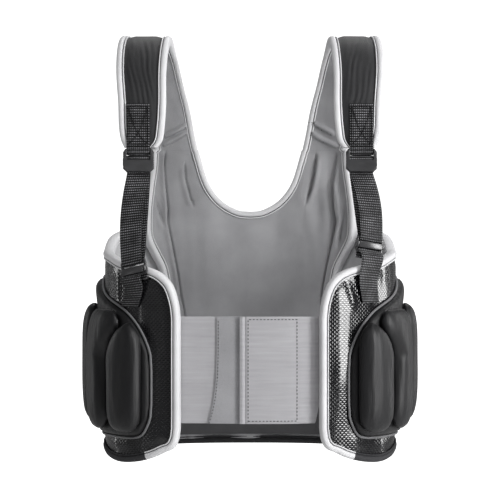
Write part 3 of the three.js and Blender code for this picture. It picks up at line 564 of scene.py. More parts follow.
def finish_piece(name, bm, materials, slot_name, nodes):
    """Turns a bmesh in metres into a piece that rides on the vest, its faces pointing outwards."""
    mesh = bpy.data.meshes.new(name)
    bmesh.ops.recalc_face_normals(bm, faces=bm.faces)
    if bm.calc_volume(signed=True) < 0:
        bmesh.ops.reverse_faces(bm, faces=bm.faces)
    for edge in edges_over(bm, SHARP_TURN):
        edge.smooth = False
    for face in bm.faces:
        face.smooth = True
    bm.to_mesh(mesh)
    bm.free()
    for material in materials:
        mesh.materials.append(material)
    piece = bpy.data.objects.new(name, mesh)
    bpy.context.scene.collection.objects.link(piece)
    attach(piece, "root")
    if nodes:
        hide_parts(*nodes)
    return piece


def map_cloth(bm, chart):
    """Gives each corner of a flat grid its place on the cloth, worked out in millimetres."""
    layer = bm.loops.layers.uv.active
    for face in bm.faces:
        for loop in face.loops:
            loop[layer].uv = [value * MM for value in chart(loop.vert.co.x, loop.vert.co.y)]


def flat_sheet(columns, rows, size):
    """A flat grid from 0 to 1 both ways, its UV map measuring the cloth in metres."""
    bm = bmesh.new()
    bm.loops.layers.uv.new("cloth")
    bmesh.ops.create_grid(bm, x_segments=columns, y_segments=rows, size=0.5)
    bmesh.ops.translate(bm, verts=bm.verts, vec=(0.5, 0.5, 0))
    map_cloth(bm, lambda u, v: (u * size[0], v * size[1]))
    return bm


def thick_sheet(columns, rows, size):
    """The flat grid as a closed slab whose third coordinate is 0 on one face and 1 on the other."""
    bm = flat_sheet(columns, rows, size)
    bmesh.ops.solidify(bm, geom=bm.faces[:], thickness=1)
    lowest = min(vert.co.z for vert in bm.verts)
    bmesh.ops.translate(bm, verts=bm.verts, vec=(0, 0, -lowest))
    return bm


def carry(bm, place):
    """Moves every point of a flat grid to its place, given in millimetres."""
    for vert in bm.verts:
        vert.co = place(*vert.co) * MM
    return bm


def slab_piece(name, columns, rows, size, place, materials, slot_name, nodes, inner=0, chart=None):
    """A thick sheet carried into place, with the inner face in its own material."""
    bm = thick_sheet(columns, rows, size)
    if chart:
        map_cloth(bm, chart)
    for face in bm.faces:
        if max(vert.co.z for vert in face.verts) < 0.5:
            face.material_index = inner
    carry(bm, place)
    return finish_piece(name, bm, materials, slot_name, nodes)


def neighbour(items, i, is_loop):
    """The item at i, which may lie past an end: counted round a loop, or else the end itself."""
    return items[i % len(items) if is_loop else min(max(i, 0), len(items) - 1)]


def along_frames(name, frames, section, sizes, materials, slot_name, nodes, is_loop=False,
                 pick=None, chart=None):
    """A closed section of (across, out) points carried along frames of (at, across, out)."""
    columns = len(frames) - (0 if is_loop else 1)
    around = len(section)
    bm = flat_sheet(columns, around, sizes)
    if chart:
        map_cloth(bm, chart)
    if pick:
        for face in bm.faces:
            centre = face.calc_center_median()
            face.material_index = pick(centre.x, int(centre.y * around))
    stops = frames + frames[:1] if is_loop else frames

    def place(u, v, _):
        at, across, out = stops[round(u * columns)]
        x, y = section[round(v * around) % around]
        return at + across * x + out * y

    carry(bm, place)
    bmesh.ops.remove_doubles(bm, verts=bm.verts, dist=MERGED)
    if not is_loop:
        rims = [edge for edge in bm.edges if edge.is_boundary]
        bmesh.ops.holes_fill(bm, edges=rims, sides=0)
    return finish_piece(name, bm, materials, slot_name, nodes)


def edge_frames(places, hand, is_loop=False):
    """Frames of (at, across, out) along an edge, across pointing into the piece."""
    frames = []
    for i, place in enumerate(places):
        if len(place) == 3:
            frames.append((place[0], place[2], place[1]))
            continue
        before, after = (neighbour(places, i + k, is_loop)[0] for k in (-1, 1))
        tangent = (after - before).normalized()
        frames.append((place[0], place[1].cross(tangent).normalized() * hand, place[1]))
    return frames


def path_length(points):
    return sum((b - a).length for a, b in zip(points, points[1:]))


# Folded bindings

def binding_section(thickness):
    """Closed outline of the folded tape: thin bead, stitch groove and fat roll on both faces."""
    reach = BINDING_WIDTH - BINDING_PROUD
    inside = -0.35
    face = [
        (reach, 0.1), (reach - 0.05, 1.0), (reach - 0.45, 1.5), (reach - 0.95, 1.5),
        (reach - 1.4, 1.05), (reach - 1.55, 0.25), (reach - 2.25, 0.25), (reach - 2.45, 0.95),
        (reach - 3.2, 1.65), (reach - 4.6, 2.05), (reach - 6.2, 1.85), (reach - 7.6, 1.1),
        (-BINDING_PROUD + 0.15, 0.1),
    ]
    outer = [(x, thickness + y) for x, y in face]
    inner = [(x, -y) for x, y in face]
    bend = [(-BINDING_PROUD, thickness * 0.5)]
    hollow = [(inside + 0.6, 0.0), (inside + 0.4, thickness * 0.5), (inside + 0.6, thickness)]
    return outer + bend + inner[::-1] + [(reach, -0.02)] + hollow + [(reach, thickness + 0.02)]


def binding(name, places, hand, thickness, material, slot_name, node, dark_from=2.0):
    """Folded tape round an edge, dark along its run past a share of the length."""
    frames = edge_frames(places, hand)
    length = path_length([frame[0] for frame in frames])
    section = binding_section(thickness)
    # The section's stitch grooves get painted shade.
    grooves = (5, 20)

    def pick(u, step):
        return 2 if u > dark_from else 1 if step in grooves else 0

    materials = [material, GROOVE_SHADE, DARK_TAPE]
    return along_frames(name, frames, section, (length, 40), materials, slot_name, [node],
                        pick=pick)


def strap_edge(side, w, steps=70):
    return [on_strap(side, i / steps, w) for i in range(steps + 1)]


def neck_places():
    shares = [i / 40 * NECK_EDGE[-1][0] for i in range(-40, 41)]
    places = []
    for share in shares:
        z = smooth_neck(share)
        places.append(on_back(share * panel_half_width(z), z))
    return strap_edge(-1, 0) + places + strap_edge(1, 0)[::-1]


neck_curve = [Vector((across, up, 0)) for across, up in NECK_EDGE]
neck_fine = [tuple(spline_point(neck_curve, i / 160))[:2] for i in range(161)]


def smooth_neck(share):
    return lerp(-NECK_DROP, -SEAM_DROP, between(neck_fine, abs(share)))


side_edge_curve = [Vector((down, out, 0)) for down, out in BACK_SIDE_EDGE]
side_edge_fine = [tuple(spline_point(side_edge_curve, i / 200))[:2] for i in range(201)]


def smooth_half_width(z):
    down = (-SEAM_DROP - z) / (BACK_LENGTH - SEAM_DROP)
    return BACK_HALF_WIDTH * between(side_edge_fine, down)


def arm_places(side):
    steps = 90
    panel = []
    for i in range(steps + 1):
        z = lerp(-SEAM_DROP, -BACK_LENGTH, i / steps)
        panel.append(on_back(side * smooth_half_width(z), z))
    return strap_edge(side, 1) + panel


def hem_places():
    half = smooth_half_width(-BACK_LENGTH) - BINDING_WIDTH - GAP
    return [on_back(half * i / 40, -BACK_LENGTH) for i in range(-40, 41)]


def outline_places(side, rows, on_face):
    """Places round a side or foam panel: back along its top, then out along its foot."""
    top = [on_face(side, row[0], row[1]) for row in rows][::-1]
    return top + [on_face(side, row[0], row[2]) for row in rows]


def make_bindings():
    rows = len(side_rows)
    turned = (rows + sum(row[0] < 0.12 for row in side_rows)) / (2 * rows - 1)
    binding("neck_tape", neck_places(), 1, STRAP_THICKNESS, BINDING, "binding", "neck_binding")
    binding("hem_tape", hem_places(), -1, BACK_THICKNESS, HEM_TAPE, "dark_binding", "hem_binding")
    for strapping in SIDES:
        name, side = strapping["name"], strapping["side"]
        binding(f"arm_tape_{name}", arm_places(side), side, BACK_THICKNESS, BINDING,
                "binding", f"arm_binding_{name}")
        rim = outline_places(side, side_rows, on_side)
        binding(f"side_tape_{name}", rim, side, SIDE_THICKNESS, BINDING, "binding",
                f"side_binding_{name}", turned)


# Padded back and straps

# Creases of the lining: points of (sideways, height), depth, half width, and the ridge on their
# outer side. All in millimetres
LINING_CREASES = [
    {"depth": 4.4, "reach": 1.2, "ridge": 2.8,
     "line": [(-98, -114), (-99, -128), (-98, -147), (-95, -180), (-95, -198), (-90, -222),
              (-84, -255), (-80, -283), (-76, -302), (-74, -322)]},
    {"depth": 4.4, "reach": 1.2, "ridge": 2.8,
     "line": [(100, -119), (95, -152), (97, -182), (99.5, -196), (95, -220), (89, -248),
              (84, -275), (81, -296)]},
    {"depth": 3.6, "reach": 1.3, "ridge": 2.2,
     "line": [(-76, -130), (-75, -147), (-69, -170), (-66, -176)]},
    {"depth": 3.2, "reach": 1.3, "ridge": 1.8,
     "line": [(77, -119), (75, -140), (70, -160), (65, -174)]},
    {"depth": 2.2, "reach": 1.8, "ridge": 1.5, "line": [(-110, -168), (-104, -190), (-98, -206)]},
    {"depth": 2.2, "reach": 1.8, "ridge": 1.5, "line": [(112, -176), (107, -200), (103, -226)]},
]


def line_distance(point, line):
    """Distance from a line, the way across it, and how much of it fades towards its ends."""
    best = (1e9, 0, 0)
    last = len(line) - 1
    for i, ((ax, az), (bx, bz)) in enumerate(zip(line, line[1:])):
        dx, dz = bx - ax, bz - az
        share = min(max(((point[0] - ax) * dx + (point[1] - az) * dz) / (dx * dx + dz * dz), 0), 1)
        miss_x, miss_z = point[0] - ax - share * dx, point[1] - az - share * dz
        distance = math.hypot(miss_x, miss_z)
        if distance < best[0]:
            place = (i + share) / last
            best = (distance, miss_x, min(1, 5 * place + 0.25, 4 * (1 - place) + 0.1))
    return best


def lining_relief(x, z):
    """How far the lining sinks into the padding: creases with a ridge, and a slow ripple."""
    relief = 0.0
    for crease in LINING_CREASES:
        distance, across, fade = line_distance((x, z), crease["line"])
        if distance > 22:
            continue
        relief += fade ** 0.5 * crease["depth"] * math.exp(-(distance / crease["reach"]) ** 2)
        if across * x > 0:
            relief -= fade * crease["ridge"] * math.exp(-((distance - 3.6) / 3.0) ** 2)
        else:
            relief += fade * 0.45 * crease["depth"] * math.exp(-(distance / 7) ** 2)
    relief += 2.1 * bumps(x / 36, z / 60, 2.3)
    relief += (0.4 + 0.9 * smooth(abs(x), 35, 80)) * bumps(x / 13, z / 40, 7.1)
    return relief


def back_cushion():
    columns, rows = 260, 150

    def place(u, v, w):
        share = 2 * u - 1
        top = smooth_neck(share) if abs(share) < NECK_EDGE[-1][0] else -SEAM_DROP
        z = lerp(-BACK_LENGTH, top, v)
        x = share * smooth_half_width(z)
        at, out = on_back(x, z)
        if w < 0.5:
            rim = min(smooth_half_width(z) - abs(x), 40)
            rim = min(rim, 0.8 * (top - z) if abs(share) < NECK_EDGE[-1][0] else 40)
            rim = min(rim, 5 + (-SEAM_DROP - z))
            return at + out * min(max(lining_relief(x, z), -2.4) * smooth(rim, 5, 12), 4.6)
        crown = 0.7 * bumps(x / 30, z / 45, 11.0)
        return at + out * (BACK_THICKNESS + crown)

    piece = slab_piece("back_cushion", columns, rows, (236, 340), place, [BACK_CLOTH, LINING],
                       "lining", ["back_panel"], inner=1)


# The dark band along the lining's foot; its darkness is partly painted shade for the shadow beneath
# the belt.
def hem_lining_band():
    inset = BINDING_WIDTH + GAP

    def place(u, v, w):
        z = -BACK_LENGTH + inset + v * HEM_BAND_HEIGHT
        x = (2 * u - 1) * (smooth_half_width(z) - inset)
        at, out = on_back(x, z)
        ripple = 0.35 * bumps(x / 12, z / 9, 4.0)
        return at - out * (GAP + 0.3 + (1 - w) * 1.0 + ripple)

    slab_piece("hem_lining_band", 120, 16, (170, 32), place, [BAND_SHADE], "dark_binding",
               ["hem_band"])


# Seam ridges across a strap's lining at the back: points of (sideways, height), by side
STRAP_SEAMS = {
    -1: [[(-98, -96), (-88, -91), (-76, -84)], [(-100, -106), (-89, -100), (-75, -92)]],
    1: [[(70, -78), (82, -85), (96, -93)], [(71, -92), (84, -100), (100, -108)]],
}


def strap_wrinkle(side, t, w):
    """Slanting wrinkles of the cover where the strap bends over the shoulder."""
    strength = smooth(t, 0.22, 0.31) * (1 - smooth(t, 0.4, 0.5))
    phase = w * 8.5 - t * 12 + 0.6 * bumps(t * 12, w * 2, 1.0 + side)
    swing = 0.35 + 0.65 * bumps(t * 16, w * 4, 8.0)
    ridges = math.sin(2 * math.pi * phase) * swing
    slow = bumps(t * 14, w * 2.4, 5.0 + side)
    return 0.9 * strength * ridges + 0.6 * slow


def seam_ridge(side, x, z):
    """Height of the folded seams on a strap's lining."""
    height = 0.0
    for line in STRAP_SEAMS[side]:
        distance, _, fade = line_distance((x, z), line)
        height = max(height, fade ** 0.2 * math.exp(-(distance / 2.6) ** 4))
    return height


def shoulder_pad(side, name):
    columns, rows = 220, 46

    def place(u, v, w):
        at, out, _ = on_strap(side, u, v)
        rise = smooth(min(v, 1 - v) * 50, 5.6, 15)
        if w < 0.5:
            relief = 1.0 * bumps(u * 16, v * 3, 9.0 + side) * rise
            relief *= 1 - smooth(u, 0.93, 1.0)
            if u > 0.6:
                relief -= 3.4 * seam_ridge(side, at.x, at.z) * smooth(min(v, 1 - v) * 50, 4, 8)
            return at + out * relief
        return at + out * (STRAP_THICKNESS - 0.35 + (1.9 + strap_wrinkle(side, u, v)) * rise)

    piece = slab_piece(f"shoulder_pad_{name}", columns, rows, (310, 52), place,
                       [STRAP_CLOTH, LINING], "black_fabric", [f"shoulder_strap_{name}"], inner=1)


# Side guards and foam panels

# Folds of the vinyl: points of (millimetres along from the front edge, height), height of the fold
VINYL_FOLDS = {
    1: [([(21, -254), (27, -266), (32, -280), (35, -294)], 1.3),
        ([(58, -246), (57, -262), (54, -278)], 1.8),
        ([(34, -330), (30, -360), (27, -392)], 0.7)],
    -1: [([(52, -250), (50, -262), (50, -276)], 1.4),
         ([(30, -330), (28, -366), (31, -400)], 0.8), ([(74, -250), (72, -268), (74, -286)], 1.0)],
}


def side_guard(side, name):
    columns, rows = 150, 110

    def place(u, v, w):
        top, foot = between(side_rows, u, 1), between(side_rows, u, 2)
        height = lerp(foot, top, v)
        at, out = on_side(side, u, height)
        z = at.z
        if w < 0.5:
            return at + out * (0.5 * bumps(u * 12, z / 30, 3.0))
        rim = min(min(v, 1 - v) * (top - foot) * SIDE_HEIGHT, u * SIDE_LENGTH)
        fold = 1.1 * bumps(u * 9, z / 55, 6.0 * side)
        fold += 0.5 * bumps(u * 26, z / 60, 3.0 * side)
        for line, lift in VINYL_FOLDS[side]:
            distance, _, fade = line_distance((u * SIDE_LENGTH, z), line)
            fold += lift * fade * math.exp(-(distance / 3.2) ** 2)
        return at + out * (SIDE_THICKNESS - 0.35 + (0.9 + fold) * smooth(rim, 5.6, 18))

    def chart(u, v):
        share = lerp(between(side_rows, u, 2), between(side_rows, u, 1), v)
        return u * SIDE_LENGTH, share * SIDE_HEIGHT

    piece = slab_piece(f"side_guard_{name}", columns, rows, (269, 230), place,
                       [CARBON, WING_LINING], "carbon_vinyl", [f"side_panel_{name}"], inner=1,
                       chart=chart)


def foam_base(side, name):
    columns, rows = 90, 80
    base = SIDE_THICKNESS + GAP + 0.6

    def place(u, v, w):
        top, foot = between(pad_rows, u, 1), between(pad_rows, u, 2)
        at, out = on_pad(side, u, lerp(foot, top, v))
        rim = min(v, 1 - v) * (top - foot) * PAD_PANEL_HEIGHT
        rim = min(rim, u * PAD_PANEL_LENGTH, (1 - u) * PAD_PANEL_LENGTH)
        rise = math.sqrt(1 - (1 - min(rim / 9, 1)) ** 2)
        if w < 0.5:
            return at + out * base
        height = lerp(foot, top, v)
        hump = math.exp(-((u - 0.72) / 0.2) ** 2 - ((height - 0.93) / 0.1) ** 2)
        dip = 0.6 * bumps(u * 7, height * 6, 2.0 * side)
        return at + out * (base + 1.5 + (PAD_PANEL_THICKNESS - 2.3 + 3.4 * hump + dip) * rise)

    piece = slab_piece(f"foam_base_{name}", columns, rows, (168, 169), place, [FOAM],
                       "foam", [f"pad_panel_{name}"])


def pad_cord(side, name):
    """Round piping along the foam panel's outline."""
    frames = edge_frames(outline_places(side, pad_rows, on_pad), side, is_loop=True)
    out = SIDE_THICKNESS + GAP + 1.7
    across = -GAP - PIPING_RADIUS
    section = []
    for i in range(12):
        turn = 2 * math.pi * i / 12
        section.append((across + 1.45 * math.cos(turn), out + 1.45 * math.sin(turn)))
    length = path_length([frame[0] for frame in frames])
    along_frames(f"pad_cord_{name}", frames, section, (length, 9), [PIPING], "piping",
                 [f"pad_piping_{name}"], is_loop=True)


def rib_shape(side, pad, u, v, w):
    """The dome of a rib pad: flat back, rounded ends, fullest a little before its middle."""
    centre = SIDE_FRONT_GAP + RIB_PAD_START + pad["place"] * RIB_PAD_PITCH
    half = pad["width"] * RIB_PAD_WIDTH / 2
    low = pad["foot"] + 0.4
    length = RIB_PAD_LENGTH + pad["lift"] - pad["foot"] - 0.8
    across = math.sin(math.pi * (u - 0.5))
    up = math.sin(math.pi * (v - 0.5))
    end = (1 - abs(up) ** (6 if up > 0 else 8)) ** (pad["round"] if up > 0 else 0.5)
    crown = ((1 - abs(across) ** 3) ** 0.5) * ((1 - abs(up) ** 5) ** 0.5)
    along = centre + across * half * lerp(0.1, 1.03, end)
    height = low + length * (1 + up) / 2
    shift = lerp(pad["front_shift"], pad["rear_shift"], (1 + across) / 2)
    along -= shift * smooth(height, RIB_SHIFT_FROM, RIB_SHIFT_TO)
    at, out = on_torso(side * along, WAIST + RIB_PAD_LOWEST + height)
    return at + out * (RIB_BASE + w * pad["height"] * RIB_PAD_HEIGHT * lerp(0.14, 1.0, crown))


def swell(piece, steps, cap):
    """Blows a pad up like foam under a tight cover, and caps how far each point moves."""
    before = [vert.co.copy() for vert in piece.data.vertices]
    cloth = piece.modifiers.new("swell", "CLOTH")
    cloth.settings.use_pressure = True
    cloth.settings.uniform_pressure_force = 4
    cloth.settings.effector_weights.gravity = 0
    cloth.point_cache.frame_start = 1
    cloth.point_cache.frame_end = steps
    for step in range(1, steps + 1):
        bpy.context.scene.frame_set(step)
    graph = bpy.context.evaluated_depsgraph_get()
    swollen = piece.evaluated_get(graph).to_mesh()
    after = [vert.co.copy() for vert in swollen.vertices]
    piece.modifiers.remove(cloth)
    bpy.context.scene.frame_set(1)
    for vert, start, end in zip(piece.data.vertices, before, after):
        move = end - start
        if move.length > cap:
            move = move.normalized() * cap
        vert.co = start + move


def rib_cushion(side, name, pad):
    """Raised pad: the dome is remeshed, swollen as cloth, pressed flat at its back and rounded."""
    bm = thick_sheet(20, 44, (RIB_PAD_WIDTH, RIB_PAD_LENGTH))
    carry(bm, lambda u, v, w: rib_shape(side, pad, u, v, w))
    piece = finish_piece(f"rib_cushion_{name}_{pad['name']}", bm, [FOAM], "foam",
                         [f"rib_pad_{name}_{pad['name']}"])
    remesh = piece.modifiers.new("even", "REMESH")
    remesh.mode = "VOXEL"
    remesh.voxel_size = 0.003
    remesh.use_smooth_shade = True
    graph = bpy.context.evaluated_depsgraph_get()
    even = bpy.data.meshes.new_from_object(piece.evaluated_get(graph))
    piece.modifiers.remove(remesh)
    piece.data = even
    swell(piece, 14, 0.0016)
    for vert in piece.data.vertices:
        x, y, z = vert.co / MM
        relief = 0.8 * bumps(x / 14 + side, y / 14, z / 60)
        relief += 0.7 * bumps(x / 5, y / 5 + side, z / 46)
        vert.co += vert.normal * relief * 0.7 * MM
        press(vert, side)
    rounded = piece.modifiers.new("rounded", "SUBSURF")
    rounded.levels = rounded.render_levels = 1
    for polygon in piece.data.polygons:
        polygon.use_smooth = True


def press(vert, side):
    """Keeps a point of a rib pad on the outside of the foam panel."""
    point = vert.co / MM
    angle = math.atan2(abs(point.x), -point.y)
    low, high = 0.0, math.pi
    for _ in range(24):
        middle = (low + high) / 2
        flat = torso_point(middle)
        if math.atan2(flat.x, -flat.y) < angle:
            low = middle
        else:
            high = middle
    flat = torso_point(low)
    ahead = torso_point(low + 0.002)
    tangent = (ahead - flat).normalized()
    out = Vector((tangent.y * side, -tangent.x, 0))
    flat.x *= side
    reach = (Vector((point.x, point.y, 0)) - flat).dot(out)
    if reach < RIB_BASE:
        vert.co += out * (RIB_BASE - reach) * MM


# Belt

FLAP_INNER = -BINDING_PROUD - GAP - 1.2
RIGHT_INNER = FLAP_INNER - GAP - 1.8
PATCH_INNER = RIGHT_INNER - GAP - 1.0
LEFT_INNER = PATCH_INNER - GAP - 1.8
PATCH_LEFT = -46
PATCH_RIGHT = 36
PATCH_CURVE = 10
FLAP_LEFT = -11
FLAP_RIGHT = 53
BELT_ROWS = 76


def patch_left(v):
    """The felt's curved left edge, at a share of the belt's height."""
    return PATCH_LEFT + PATCH_CURVE * (1 - (1 - v) ** 4)


def belt_sheet(name, node, slot_name, material, columns, edges, inner, thickness, ripple, hem):
    """One layer of the belt; a hem is a roll with a groove along its left edge."""
    def place(u, v, w):
        start, end = edges(v)
        along = lerp(start, end, u)
        z = BELT_FOOT + v * BELT_HEIGHT
        at, out = on_torso(along, z)
        wave = ripple * (bumps(along / 16, z / 70, len(name))
                         + 0.6 * bumps(along / 40, z / 9, 3.0))
        edge = 1 - smooth(min(v, 1 - v) * BELT_HEIGHT, 0, 2.2)
        if hem:
            from_edge = along - start
            wave += w * (0.8 * math.exp(-((from_edge - 2.8) / 2.0) ** 2)
                         - 1.0 * math.exp(-((from_edge - 5.8) / 0.9) ** 2))
        return at + out * (inner(along) + w * thickness * (1 - 0.45 * edge) + wave)

    start, end = edges(0.5)
    size = (abs(end - start), BELT_HEIGHT)
    piece = slab_piece(name, columns, BELT_ROWS, size, place, [material], slot_name, [node])
    return piece, size


def make_belt():
    left_start = -SIDE_FRONT_GAP - 22
    sewn = -BINDING_PROUD - GAP - 1.8

    def left_inner(along):
        return lerp(sewn, LEFT_INNER, smooth(along, left_start + BINDING_WIDTH, PATCH_LEFT))

    def right_edges(v):
        bulge = 6 * (1 - (2 * v - 1) ** 2)
        return FLAP_LEFT, SIDE_FRONT_GAP - 5 + bulge + 6 * v

    def patch_edges(v):
        return patch_left(v), PATCH_RIGHT

    layers = [
        ("belt_left_elastic", "belt_left", "elastic", ELASTIC, 90,
         lambda v: (left_start, PATCH_RIGHT), left_inner, 1.6, 0.3, False),
        ("belt_loop_felt", "belt_loop_patch", "loop_felt", LOOP_FELT, 60,
         patch_edges, lambda along: PATCH_INNER, 1.0, 0.15, False),
        ("belt_right_elastic", "belt_right", "elastic", ELASTIC, 70,
         right_edges, lambda along: RIGHT_INNER, 1.7, 0.2, False),
        ("belt_flap_cover", "belt_flap", "elastic", ELASTIC, 90,
         lambda v: (FLAP_LEFT, FLAP_RIGHT), lambda along: FLAP_INNER, 1.2, 0.2, True),
    ]
    for layer in layers:
        piece, size = belt_sheet(*layer)


# Stitches

def stitch_row(name, places, length, gap, width, material, slot_name):
    """Dashes of thread along places of (point, outward normal)."""
    bm = bmesh.new()
    walked, next_start = 0.0, 0.0
    pitch = length + gap
    for (a, out_a), (b, _) in zip(places, places[1:]):
        span = (b - a).length
        while next_start <= walked + span:
            share = (next_start - walked) / span if span else 0
            at = a.lerp(b, share)
            along = (b - a).normalized()
            across = along.cross(out_a).normalized()
            turn = Matrix((along * length / 2, across * width / 2, out_a * width / 2)).transposed()
            place = Matrix.Translation(at * MM) @ (turn * MM).to_4x4()
            bmesh.ops.create_icosphere(bm, subdivisions=1, radius=1.0, matrix=place)
            next_start += pitch
        walked += span
    return finish_piece(name, bm, [material], slot_name, [])


def belt_line(points, out_by, steps=24):
    """Places along a line of (along, z) on the belt."""
    places = []
    for (a0, z0), (a1, z1) in zip(points, points[1:]):
        for i in range(steps):
            share = i / steps
            at, out = on_torso(lerp(a0, a1, share), lerp(z0, z1, share))
            places.append((at + out * out_by, out))
    at, out = on_torso(*points[-1])
    places.append((at + out * out_by, out))
    return places


def make_stitches():
    top, foot = BELT_FOOT + BELT_HEIGHT, BELT_FOOT
    face = FLAP_INNER + 1.25
    box = [(FLAP_LEFT + 9, foot + 3), (FLAP_LEFT + 9, top - 3), (FLAP_RIGHT - 2.5, top - 3),
           (FLAP_RIGHT - 2.5, foot + 3), (FLAP_LEFT + 9, foot + 3)]
    stitch_row("flap_stitches", belt_line(box, face), 2.8, 1.0, 1.0, THREAD_GREY, "elastic")
    felt = []
    for i in range(41):
        v = i / 40
        felt.append((patch_left(v) + 1.8, lerp(foot + 1, top - 2, v)))
    stitch_row("felt_stitches", belt_line(felt, PATCH_INNER + 1.1, 2), 2.4, 1.1, 1.0, THREAD_GREY,
               "loop_felt")
    for strapping in SIDES:
        side, name = strapping["side"], strapping["name"]
        for row, line in enumerate(STRAP_SEAMS[side]):
            places = []
            for i in range(21):
                spot = spline_point([Vector((x, z, 0)) for x, z in line], i / 20)
                at, out = strap_lining(side, spot.x, spot.y - 1.6)
                places.append((at - out * 1.6, -out))
            stitch_row(f"strap_seam_{name}_{row}", places, 1.9, 1.0, 0.9, THREAD_GREY, "lining")


def strap_lining(side, x, z):
    """The point of a strap's underside at the back that lies nearest to x and z."""
    best = None
    for i in range(60, 101):
        for k in range(0, 21):
            at, out, _ = on_strap(side, i / 100, k / 20)
            miss = (at.x - x) ** 2 + (at.z - z) ** 2
            if best is None or miss < best[0]:
                best = (miss, at, out)
    return best[1], best[2]


# Webbing and buckles

strap_foot = (STRAP["neck"][0] + STRAP["arm"][0]) / 2
WEBBING_X = strap_foot.x + BUCKLE_SHIFT
BUCKLE_ROUND = 0.75
PROUD_WEBBING = BINDING_PROUD + GAP + WEBBING_THICKNESS / 2
BUCKLE_Y = strap_foot.y - STRAP_THICKNESS / 2
BUCKLE_Z = strap_foot.z - BUCKLE_HEIGHT / 2 - BUCKLE_CLEARANCE
TOP_BAR_Z = BUCKLE_Z + BUCKLE_HEIGHT / 2 - BUCKLE_BAR / 2


def fold_reach(bar, thickness):
    return math.hypot(bar, thickness) / 2 + 2 * GAP + WEBBING_THICKNESS / 2


def webbing_strip(name, stops, node, is_loop=False):
    """Webbing through stops of (point, turn about the upright, roll), smoothed between them."""
    fine = []
    per_stretch = 8
    for i in range(len(stops) - (0 if is_loop else 1)):
        near = [neighbour(stops, i + k, is_loop) for k in (-1, 0, 1, 2)]
        points = [stop[0] for stop in near]
        for step in range(per_stretch):
            share = step / per_stretch
            if i or is_loop:
                at = spline_point(points, (1 + share) / 3)
            else:
                at = points[1].lerp(points[2], share)
            turn, roll = (lerp(near[1][k], near[2][k], share) for k in (1, 2))
            fine.append((at, turn, roll))
    if not is_loop:
        fine.append(stops[-1])
    frames = []
    for i, (at, turn, roll) in enumerate(fine):
        before, after = (neighbour(fine, i + k, is_loop)[0] for k in (-1, 1))
        level = math.cos(roll)
        across = Vector((level * math.cos(turn), level * math.sin(turn), math.sin(roll)))
        frames.append((at, across, across.cross((after - before).normalized()).normalized()))
    half, thick = WEBBING_WIDTH / 2 - 0.2, WEBBING_THICKNESS / 2 - 0.1
    section = []
    for way in (-1, 1):
        for i in range(10):
            height = way * thick * (0.55 if i in (0, 9) else 1)
            section.append((lerp(way * half, -way * half, i / 9), height))
        section.append((-way * (half + 0.2), 0.0))
    looped = frames + frames[:1]
    walked = [0.0]
    for before, after in zip(looped, looped[1:]):
        walked.append(walked[-1] + (after[0] - before[0]).length)
    columns = len(walked) - (1 if is_loop else 2)

    def chart(u, v):
        across = section[round(v * len(section)) % len(section)][0]
        return across + 30, walked[round(u * columns)]

    along_frames(name, frames, section, (1, 1), [WEBBING], "webbing", [node], is_loop,
                 chart=chart)


def patch_strap(side, name):
    x = side * WEBBING_X
    fold = fold_reach(BUCKLE_BAR, BUCKLE_THICKNESS)
    stops = []

    def on_face(t, offset):
        at, out, _ = on_strap(side, t, 0.5)
        point = at + out * offset
        return Vector((x, point.y, point.z))

    for t in (0.27, 0.22, 0.17, 0.12, 0.075, 0.035, 0):
        stops.append((on_face(t, STRAP_THICKNESS + PROUD_WEBBING), 0, 0))
    for i in range(5):
        turn = math.pi * i / 4
        y = BUCKLE_Y - fold * math.cos(turn)
        z = TOP_BAR_Z - 1.15 * fold * math.sin(turn)
        stops.append((Vector((x, y, z)), 0, 0))
    for t in (0, 0.03, 0.06):
        stops.append((on_face(t, -PROUD_WEBBING), 0, 0))
    webbing_strip(f"patch_strap_{name}", stops, f"patch_webbing_{name}")
    proud = STRAP_THICKNESS + PROUD_WEBBING + WEBBING_THICKNESS / 2

    def face_place(t, across):
        at, out, _ = on_strap(side, t, 0.5)
        point = at + out * (proud + 0.4)
        return Vector((x + across, point.y, point.z)), out

    half = WEBBING_WIDTH / 2 - 2.2
    top, foot = 0.26, 0.045
    corners = [(top, -half), (top, half), (foot, half), (foot, -half), (top, -half), (foot, half)]
    places = []
    for (t0, a0), (t1, a1) in zip(corners, corners[1:]):
        places += [face_place(lerp(t0, t1, i / 20), lerp(a0, a1, i / 20)) for i in range(20)]
    places.append(face_place(*corners[-1]))
    cross = [face_place(lerp(top, foot, i / 20), lerp(half, -half, i / 20)) for i in range(21)]
    for row, line in enumerate((places, cross)):
        stitch_row(f"box_stitches_{name}_{row}", line, 2.4, 0.3, 1.5, THREAD_DARK, "webbing")
    for row, t in enumerate((0.012, 0.022)):
        bar = [face_place(t, lerp(-half - 1, half + 1, i / 12)) for i in range(13)]
        stitch_row(f"bar_tack_{name}_{row}", bar, 1.2, 0.25, 0.9, THREAD_DARK, "webbing")


def side_along(x):
    along = 0
    while True:
        at, out = on_torso(along, 0)
        if (at + out * SIDE_THICKNESS).x >= x:
            return along
        along += GAP


def slide_pose(strapping):
    side = strapping["side"]
    along = side_along(SLIDE_SPREAD * strapping["spread"])
    at, out = on_torso(side * along, WAIST + SLIDE_RISE * strapping["rise"])
    clear = SIDE_THICKNESS + BINDING_PROUD + GAP + fold_reach(SLIDE_BAR, SLIDE_THICKNESS)
    clear += WEBBING_THICKNESS / 2
    centre = at + out * (clear + 10 * math.sin(0.3 * (1 - strapping["facing"])) * (side < 0))
    turn = math.atan2(out.x, -out.y) * strapping["facing"]
    out = Vector((math.sin(turn), -math.cos(turn), 0))
    roll = -side * math.radians(strapping["tilt"])
    lean = -math.sin(roll)
    up = Vector((lean * math.cos(turn), lean * math.sin(turn), math.cos(roll)))
    return {"along": along, "out": out, "up": up, "at": centre, "clear": clear,
            "turn": turn, "roll": roll}


def in_slide(pose, reach, height):
    return pose["at"] + pose["out"] * reach + pose["up"] * height


